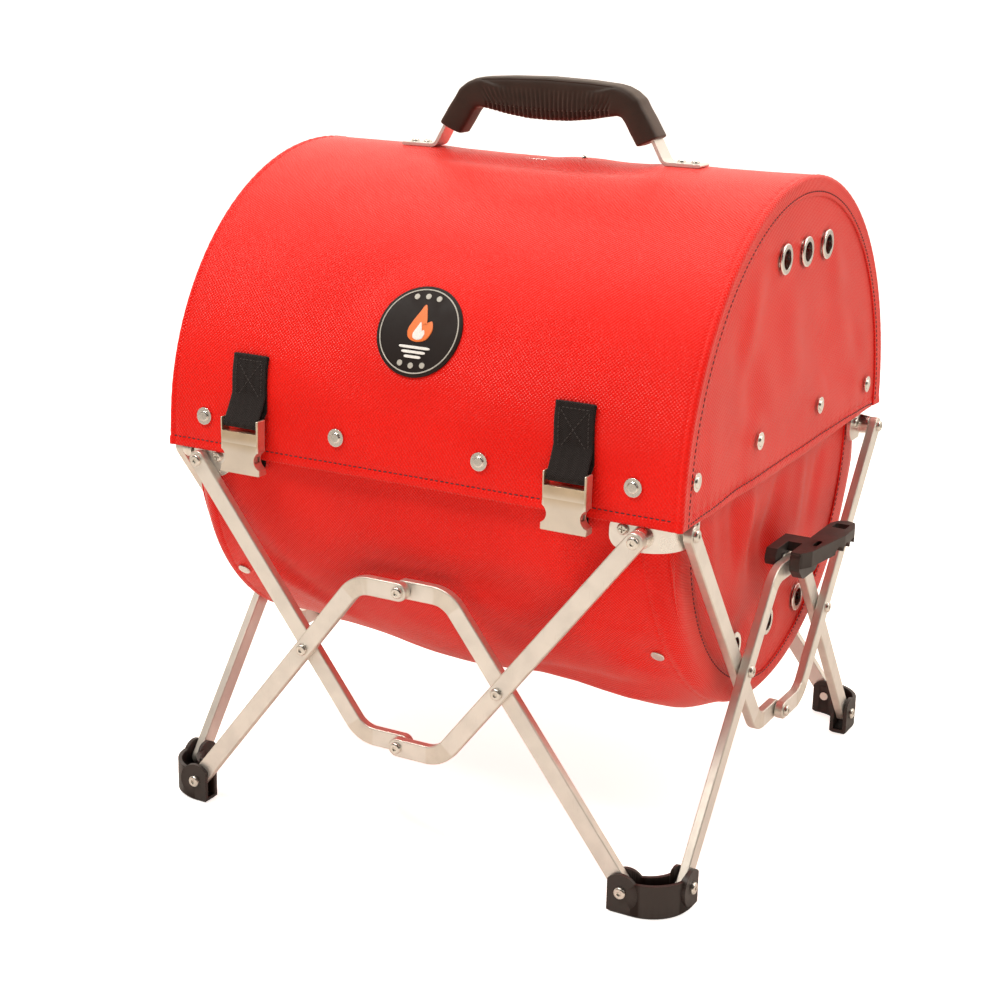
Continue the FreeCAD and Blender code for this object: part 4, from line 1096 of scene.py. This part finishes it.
def ribbon(name, line, half, centres, body, replaced):
    """Webbing of one width along a line in the YZ plane, one strip at each X, with woven edges."""
    shares = np.array([-1, -0.94, -0.8, -0.5, 0, 0.5, 0.8, 0.94, 1])
    thin = 1 - 0.35 * np.abs(shares) ** 10
    along = distance_along(line)
    ahead = np.gradient(line, axis=0)
    ahead /= np.linalg.norm(ahead, axis=1)[:, None]
    out = np.stack([-ahead[:, 1], ahead[:, 0]], -1)
    faces_all, points_all, uv_all = [], [], []
    for centre in centres:
        for side in (1, -1):
            rows = line[:, None, :] + out[:, None, :] * (side * WEBBING_THICK / 2 * thin)[None, :, None]
            x = centre + shares * half + strap_lean(rows[..., 1])
            points_all.append(np.concatenate([x[..., None], rows], -1))
            uv_all.append(np.stack(np.broadcast_arrays(shares * half + half, along[:, None]), -1))
    rows, columns = points_all[0].shape[:2]
    size = rows * columns
    index = np.arange(size).reshape(rows, columns)
    for n in range(len(centres)):
        front, back = 2 * n * size + index, (2 * n + 1) * size + index
        for grid, turned in ((front, False), (back, True)):
            quads = quads_of(grid)
            faces_all += (quads[:, ::-1] if turned else quads).tolist()
        for a, b in ((front[:, 0], back[:, 0]), (back[:, -1], front[:, -1])):
            faces_all += np.stack([a[1:], a[:-1], b[:-1], b[1:]], -1).tolist()
        for a, b in ((front[0], back[0]), (back[-1], front[-1])):
            faces_all += np.stack([a[:-1], a[1:], b[1:], b[:-1]], -1).tolist()
    vertices = np.concatenate([p.reshape(-1, 3) for p in points_all])
    uv = np.concatenate([u.reshape(-1, 2) for u in uv_all])
    piece = mesh_object(name, vertices, faces_all, WEBBING, uv)
    mended(piece, face_outward)
    attach(piece, body, replaced)


def lid_straps():
    """Two doubled straps: down from a rolled top edge, round the buckle's bar and up again."""
    top = STRAP_TOP - 2.0 * MM
    bar = (BUCKLE_MID_Y, BUCKLE_BAR_Z)
    inner = [on_lid_front(z, 1.1 * MM) for z in np.linspace(top, BUCKLE_BAR_Z + 9 * MM, 24)]
    outer = [on_lid_front(z, 3.2 * MM) for z in np.linspace(BUCKLE_BAR_Z + 22 * MM, top, 20)]
    roll_at = on_lid_front(top, 2.3 * MM)
    tilt = math.degrees(math.asin((top - LID_AXIS_Z) / LID_RADIUS))
    roll = arc(roll_at, 1.9 * MM, 180 - tilt, -tilt, 12)
    line = inner + arc(bar, 3.3 * MM, 20, -190, 22) + outer + roll
    line = evenly(line, 1.0 * MM)
    ribbon("lid_webbing", line, STRAP_HALF, STRAP_PLACES, "lid", "lid_straps")
    runs = []
    half = STRAP_HALF - 4 * MM
    low, high = BUCKLE_BAR_Z + 18 * MM, STRAP_TOP - 5 * MM

    def on_strap(u, z):
        y, up = on_lid_front(z, 3.2 * MM + WEBBING_THICK / 2)
        return (u + strap_lean(np.float64(z)), y, up)

    corners = [(-half, low), (half, low), (half, high), (-half, high)]
    strokes = [(corners[k], corners[(k + 1) % 4]) for k in range(4)]
    strokes += [(corners[0], corners[2]), (corners[1], corners[3])]
    for centre in STRAP_PLACES:
        for (u0, z0), (u1, z1) in strokes:
            share = np.linspace(0, 1, 30)
            points = np.array([on_strap(centre + u0 + (u1 - u0) * s, z0 + (z1 - z0) * s) for s in share])
            normals = points - np.array([0, 0, LID_AXIS_Z])
            normals[:, 0] = 0
            normals /= np.linalg.norm(normals, axis=1)[:, None]
            runs.append((points, normals, {"length": 2.6 * MM, "gap": 0.9 * MM, "radius": 0.42 * MM}))
    sew("strap_stitching", runs, "lid", BLACK_THREAD)


def tongue_tabs():
    """Short webbing loops from the basin's front round the bars of the tongues."""
    z = TONGUE_BAR_Z
    line = [(-231.0 * MM, z + 7.5 * MM), (-231.4 * MM, z - 4.5 * MM), (-236 * MM, z - 9.5 * MM),
            (-244 * MM, z - 10.5 * MM)]
    line += arc((BUCKLE_MID_Y, z), 2.4 * MM, -100, -350, 24)
    line += [(-245.6 * MM, z - 5.5 * MM), (-243.5 * MM, z - 8.3 * MM), (-237 * MM, z - 7.5 * MM)]
    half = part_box("tongue_tabs")[1].x - STRAP_PLACES[1]
    ribbon("tongue_webbing", evenly(line, 0.8 * MM), half, STRAP_PLACES, "basin", "tongue_tabs")


# ---------------------------------------------------------------- hinge flap

def hinge_flap():
    """Strip of the same cloth, sewn to both rear hems, that the lid turns on."""
    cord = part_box("rim_wires")[1]
    hinge_z = cord.z - 1.5 * MM
    hinge_y = cord.y - 1.5 * MM
    line = [(BASIN_HALF + 0.6 * MM, 308 * MM), (BASIN_HALF + 1.2 * MM, 320 * MM),
            (BASIN_HALF + 4 * MM, 328 * MM)]
    line += arc((hinge_y, hinge_z), 2.6 * MM, -75, 75, 12)
    line += [(LID_RADIUS + 1.6 * MM, 344 * MM), (LID_RADIUS + 0.6 * MM, 356 * MM)]
    line = evenly(line, 1.2 * MM)
    across = np.linspace(-168, 168, 113) * MM
    along = distance_along(line)
    points = np.zeros((len(line), len(across), 3))
    points[..., 0] = across
    points[..., 1:] = line[:, None, :]
    ripple = 0.25 * MM * np.sin(across / (17 * MM) * 2 * math.pi) * hump(line[:, 1:], hinge_z, 14 * MM)
    points[..., 1] += ripple
    uv = np.stack(np.broadcast_arrays(across[None, :], along[:, None]), -1)
    cloth = grid_object("hinge_flap", points, uv, RED)
    thicken(cloth, 1.0 * MM, 1.0)
    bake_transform(cloth, "basin", "lid", start=(0, hinge_y, hinge_z - 3 * MM), end=(0, hinge_y, hinge_z + 3 * MM))
    return cloth


# ---------------------------------------------------------------- folding away

BASIN_KEEP = 0.28          # share of its width that the basin keeps inside the folded stand
LID_KEEP = 0.40
TONGUE_KEEP = 0.09         # the tongues end up between the two front brackets
FLAP_KEEP = 0.14           # and the hinge flap between the two at the back
GRATE_KEEP = 0.23
RIM_CORNER = 195 * MM      # beyond this the basin's rim moves with the brackets
RIDGE_KEEP = 0.62          # the ridge stays wide enough for the handle
FOLD_TRAVEL = 0.33615      # how far two neighbouring feet move towards each other
HINGE = (0.0, 0.24, 0.334)


def geometry_tree(name):
    group = bpy.data.node_groups.new(name, "GeometryNodeTree")
    group.interface.new_socket("Geometry", in_out="INPUT", socket_type="NodeSocketGeometry")
    group.interface.new_socket("Geometry", in_out="OUTPUT", socket_type="NodeSocketGeometry")
    return group


def fold_group(name, turns_with=None):
    """Draws the points in towards the middle by how far the stand is folded, and gathers the cloth.

    Pieces of the lid also shift so that the rear hem stays on the basin while the lid is open.
    """
    group = geometry_tree(name)

    def add(kind, inputs=None, **settings):
        node = group.nodes.new(kind)
        for key, value in settings.items():
            setattr(node, key, value)
        for key, value in (inputs or {}).items():
            if isinstance(value, bpy.types.NodeSocket):
                group.links.new(value, node.inputs[key])
            else:
                node.inputs[key].default_value = value
        return node

    def calc(operation, *values):
        return add("ShaderNodeMath", dict(enumerate(values)), operation=operation).outputs[0]

    def vector(operation, *values):
        return add("ShaderNodeVectorMath", dict(enumerate(values)), operation=operation)

    def stored(attribute, kind):
        node = add("GeometryNodeInputNamedAttribute", {"Name": attribute}, data_type=kind)
        return next(s for s in node.outputs if s.enabled and s.name == "Attribute")

    def place(body):
        return add("GeometryNodeObjectInfo", {"Object": frame["bodies"][body]})

    feet = [place(body).outputs["Location"] for body in ("front_left_foot", "front_right_foot")]
    apart = vector("DISTANCE", *feet).outputs["Value"]
    folded = calc("DIVIDE", apart, FOLD_TRAVEL)
    lost = vector("SUBTRACT", (1.0, 1.0, 1.0), stored("fold_keep", "FLOAT_VECTOR")).outputs[0]
    pull = vector("MULTIPLY", stored("fold_centre", "FLOAT_VECTOR"), lost).outputs[0]
    offset = vector("SCALE", pull)
    group.links.new(calc("MULTIPLY", folded, -1.0), offset.inputs["Scale"])
    offset = offset.outputs[0]
    gather = vector("SCALE", add("GeometryNodeInputNormal").outputs[0])
    group.links.new(calc("MULTIPLY", stored("fold_gather", "FLOAT"), folded), gather.inputs["Scale"])
    offset = vector("ADD", offset, gather.outputs[0]).outputs[0]
    if turns_with:
        back = calc("MULTIPLY", folded, HINGE[1] * (1 - LID_KEEP))
        moved = add("ShaderNodeCombineXYZ", {1: back}).outputs[0]
        turn = add("FunctionNodeInvertRotation", {0: place(turns_with).outputs["Rotation"]}).outputs[0]
        undone = add("FunctionNodeRotateVector", {0: moved, 1: turn}).outputs[0]
        offset = vector("ADD", offset, vector("SUBTRACT", moved, undone).outputs[0]).outputs[0]
    source = add("NodeGroupInput")
    shift = add("GeometryNodeSetPosition", {"Geometry": source.outputs[0], "Offset": offset})
    add("NodeGroupOutput", {0: shift.outputs[0]})
    return group


def points_of(piece):
    co = np.zeros(len(piece.data.vertices) * 3)
    piece.data.vertices.foreach_get("co", co)
    return co.reshape(-1, 3)


def lid_keep(points):
    """Shares of width kept by the lid: narrow at the rim, wide at the ridge."""
    up = smooth(points[:, 2], LID_RIM + 20 * MM, LID_TOP - 10 * MM)
    keep = np.full_like(points, LID_KEEP)
    keep[:, 0] += (RIDGE_KEEP - LID_KEEP) * up
    return keep


def basin_keep(points):
    """Shares of width kept by the basin's cloth: the rim's corners stay in the brackets."""
    travel = FOLD_TRAVEL / 2
    rim = 1 - smooth(BASIN_RIM - points[:, 2], 25 * MM, 80 * MM)
    far = np.maximum(np.abs(points), RIM_CORNER)
    corners = 1 - travel / far
    return BASIN_KEEP + (corners - BASIN_KEEP) * rim[:, None]


def fold_with(piece, group, centre, keep, gather):
    """Puts the fold modifier first on a piece, with the values that it needs at each point."""
    keep[:, 2] = 1.0
    for name, kind, field, values in (("fold_centre", "FLOAT_VECTOR", "vector", centre),
                                      ("fold_keep", "FLOAT_VECTOR", "vector", keep),
                                      ("fold_gather", "FLOAT", "value", gather)):
        layer = piece.data.attributes.new(name, kind, "POINT")
        layer.data.foreach_set(field, np.asarray(values, np.float32).ravel())
    modifier = piece.modifiers.new("fold_squeeze", "NODES")
    modifier.node_group = group
    piece.modifiers.move(len(piece.modifiers) - 1, 0)


RIGID = ("basin_eyelets", "lid_eyelets", "lid_snaps", "lid_buckles", "buckle_tongues")
STIFF_ON_LID = ("ridge_plate", "handle_strap", "handle_grip", "moulded_grip", "handle_screws")
ON_STRAPS = ("lid_webbing", "strap_stitching", "tongue_webbing")


def gathers(name, points):
    """Height of the waves that a sheet makes as it is squeezed, at each of its points."""
    if name not in ("lid_wrap", "basin_wrap"):
        return np.zeros(len(points))
    tall = 6 * MM if name == "lid_wrap" else 5 * MM
    inner = smooth(LID_HALF - abs(points[:, 0]), 20 * MM, 70 * MM)
    edge = smooth(abs(points[:, 2] - BASIN_RIM), 10 * MM, 50 * MM)
    made = tall * np.sin(points[:, 0] / (52 * MM) * 2 * math.pi) * inner * edge
    made *= smooth(LID_TOP - points[:, 2], 20 * MM, 60 * MM)
    if name == "lid_wrap":
        under_straps = [(x, *on_lid_front(z, 0)) for x in STRAP_PLACES
                        for z in np.linspace(BUCKLE_BAR_Z - 25 * MM, STRAP_TOP, 4)]
        made *= calm(points, under_straps, 20 * MM, 40 * MM) * calm(points, [PATCH_CENTRE], 42 * MM, 65 * MM)
    return made


def kept_widths(name, body, points, centre):
    """Shares of their X and Y that the points of a piece keep when the stand is folded."""
    if name in STIFF_ON_LID:
        return np.ones_like(points)
    if name in ("lid_webbing", "strap_stitching", "lid_buckles"):
        return np.full_like(points, LID_KEEP)
    if name in ("charcoal_tray", "cooking_grate"):
        return np.full_like(points, GRATE_KEEP)
    if name in ("buckle_tongues", "tongue_webbing"):
        keep = np.full_like(points, BASIN_KEEP)
        keep[:, 0] = TONGUE_KEEP
        return keep
    if name == "hinge_flap":
        share = smooth(points[:, 2], HINGE[2] - 8 * MM, HINGE[2])[:, None]
        keep = basin_keep(points) * (1 - share) + lid_keep(points) * share
        keep[:, 0] = FLAP_KEEP
        return keep
    return lid_keep(centre) if body == "lid" else basin_keep(centre)


def fold_away():
    """Every piece of the basin, the lid and the grate is drawn in as the stand folds."""
    basin_group = fold_group("fold_basin")
    lid_group = fold_group("fold_lid", "lid")
    for piece in list(bpy.context.scene.objects):
        if piece.type != "MESH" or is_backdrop(piece):
            continue
        name = piece.name
        body = (body_of(piece) or [""])[-1]
        if body not in ("basin", "lid", "grate"):
            continue
        points = points_of(piece)
        centre = points.copy()
        if name in RIGID:
            centres, solid = islands(name)
            centre = centres[solid]
        if name in ON_STRAPS:
            centre[:, 0] = np.where(points[:, 0] < 0, *STRAP_PLACES)
        group = lid_group if body == "lid" and name != "hinge_flap" else basin_group
        fold_with(piece, group, centre, kept_widths(name, body, points, centre), gathers(name, points))


# ---------------------------------------------------------------- stage

CAMERA_AZIMUTH = 28.414
CAMERA_ELEVATION = 16.456
CAMERA_ROLL = 1.319
CAMERA_DISTANCE = 1.782889
CAMERA_TARGET = (0.0, 0.0, 0.200)
CAMERA_SHIFT = (-0.037325, 0.051871)
CAMERA_LENS = 68.30


def camera():
    azimuth, elevation = math.radians(CAMERA_AZIMUTH), math.radians(CAMERA_ELEVATION)
    back = Vector((math.sin(azimuth) * math.cos(elevation), -math.cos(azimuth) * math.cos(elevation),
                   math.sin(elevation)))
    right = Vector((math.cos(azimuth), math.sin(azimuth), 0))
    up = back.cross(right)
    target = Vector(CAMERA_TARGET) + right * CAMERA_SHIFT[0] + up * CAMERA_SHIFT[1]
    data = bpy.data.cameras.new("camera")
    data.lens = CAMERA_LENS
    data.sensor_width = 36.0
    data.clip_end = 300.0
    made = bpy.data.objects.new("camera", data)
    bpy.context.scene.collection.objects.link(made)
    turned = Matrix((right, up, back)).transposed() @ Matrix.Rotation(math.radians(CAMERA_ROLL), 3, "Z")
    made.matrix_world = Matrix.Translation(target + back * CAMERA_DISTANCE) @ turned.to_4x4()
    bpy.context.scene.camera = made


def floor():
    """Pale floor that runs out of view. A faint glow keeps it white like a lit sweep."""
    reach = 80
    corners = [(-reach, -reach, 0), (reach, -reach, 0), (reach, reach, 0), (-reach, reach, 0)]
    material, t = new_material("floor")
    seen = t.add("LightPath").outputs["Is Camera Ray"]
    glow = t.spread(seen, 0, 1, FLOOR_BOUNCE, FLOOR_GLOW)
    shade = t.mix(seen, colour(0.66, 0.60, 0.54), colour(0.80, 0.79, 0.78))
    finish_material(t, Base_Color=shade, Roughness=0.9, Specular_IOR_Level=0.1,
                    Emission_Color=colour(1.0, 0.96, 0.92), Emission_Strength=glow)
    mesh_object("floor", corners, [[0, 1, 2, 3]], material)


def area_light(name, azimuth, elevation, distance, size, power, tint=(1, 1, 1), mirrored=True):
    a, e = math.radians(azimuth), math.radians(elevation)
    away = Vector((math.sin(a) * math.cos(e), -math.cos(a) * math.cos(e), math.sin(e)))
    data = bpy.data.lights.new(name, "AREA")
    data.shape = "RECTANGLE"
    data.size, data.size_y = size
    data.energy = power
    data.color = tint
    made = bpy.data.objects.new(name, data)
    bpy.context.scene.collection.objects.link(made)
    made.visible_glossy = mirrored
    made.location = Vector((0, 0, 0.33)) + away * distance
    made.rotation_mode = "QUATERNION"
    made.rotation_quaternion = away.to_track_quat("Z", "Y")


FLOOR_GLOW = 0.85        # seen directly
FLOOR_BOUNCE = 0.14      # seen in reflections


def studio():
    """White sweep behind and below, a dark room in front, and three soft boxes."""
    world = bpy.data.worlds.new("studio")
    bpy.context.scene.world = world
    world.use_nodes = True
    t = Tree(world.node_tree)
    direction = t.add("TexCoord").outputs["Generated"]
    behind = (-math.sin(math.radians(CAMERA_AZIMUTH)), math.cos(math.radians(CAMERA_AZIMUTH)), 0.0)
    facing = t.add("VectorMath", {0: direction, 1: behind}, operation="DOT_PRODUCT").outputs["Value"]
    white = t.spread(facing, -0.25, 0.55)
    seen = t.mix(white, colour(0.05, 0.045, 0.040), colour(1.25, 1.13, 1.00))
    backdrop = t.mix(t.add("LightPath").outputs["Is Camera Ray"], seen, colour(1.2, 1.2, 1.2))
    shade = t.add("Background", {"Color": backdrop, "Strength": 1.0})
    t.add("OutputWorld", {0: shade.outputs[0]})
    area_light("key_softbox", -30, 55, 2.2, (1.5, 0.22), 32, (1.0, 0.96, 0.90))
    area_light("right_softbox", 105, 38, 2.4, (1.4, 1.4), 20, (1.0, 0.95, 0.88))
    area_light("top_softbox", 170, 74, 2.4, (1.8, 1.2), 20, (1.0, 0.95, 0.88))
    area_light("low_fill", 22, -2, 2.4, (1.6, 0.5), 15, (1.0, 0.93, 0.85), mirrored=False)
    bpy.context.scene.view_settings.view_transform = "Standard"


# ---------------------------------------------------------------- build

paint_frame()
lid_runs = lid_wrap()
for side in (-1, 1):
    lid_runs.append(lid_end(side))
    basin_end(side)
sew("lid_stitching", lid_runs, "lid", DARK_THREAD)
sew("basin_stitching", basin_wrap(), "basin", DARK_THREAD)
patch()
grip()
lid_straps()
tongue_tabs()
hinge_flap()
fold_away()
camera()
floor()
studio()
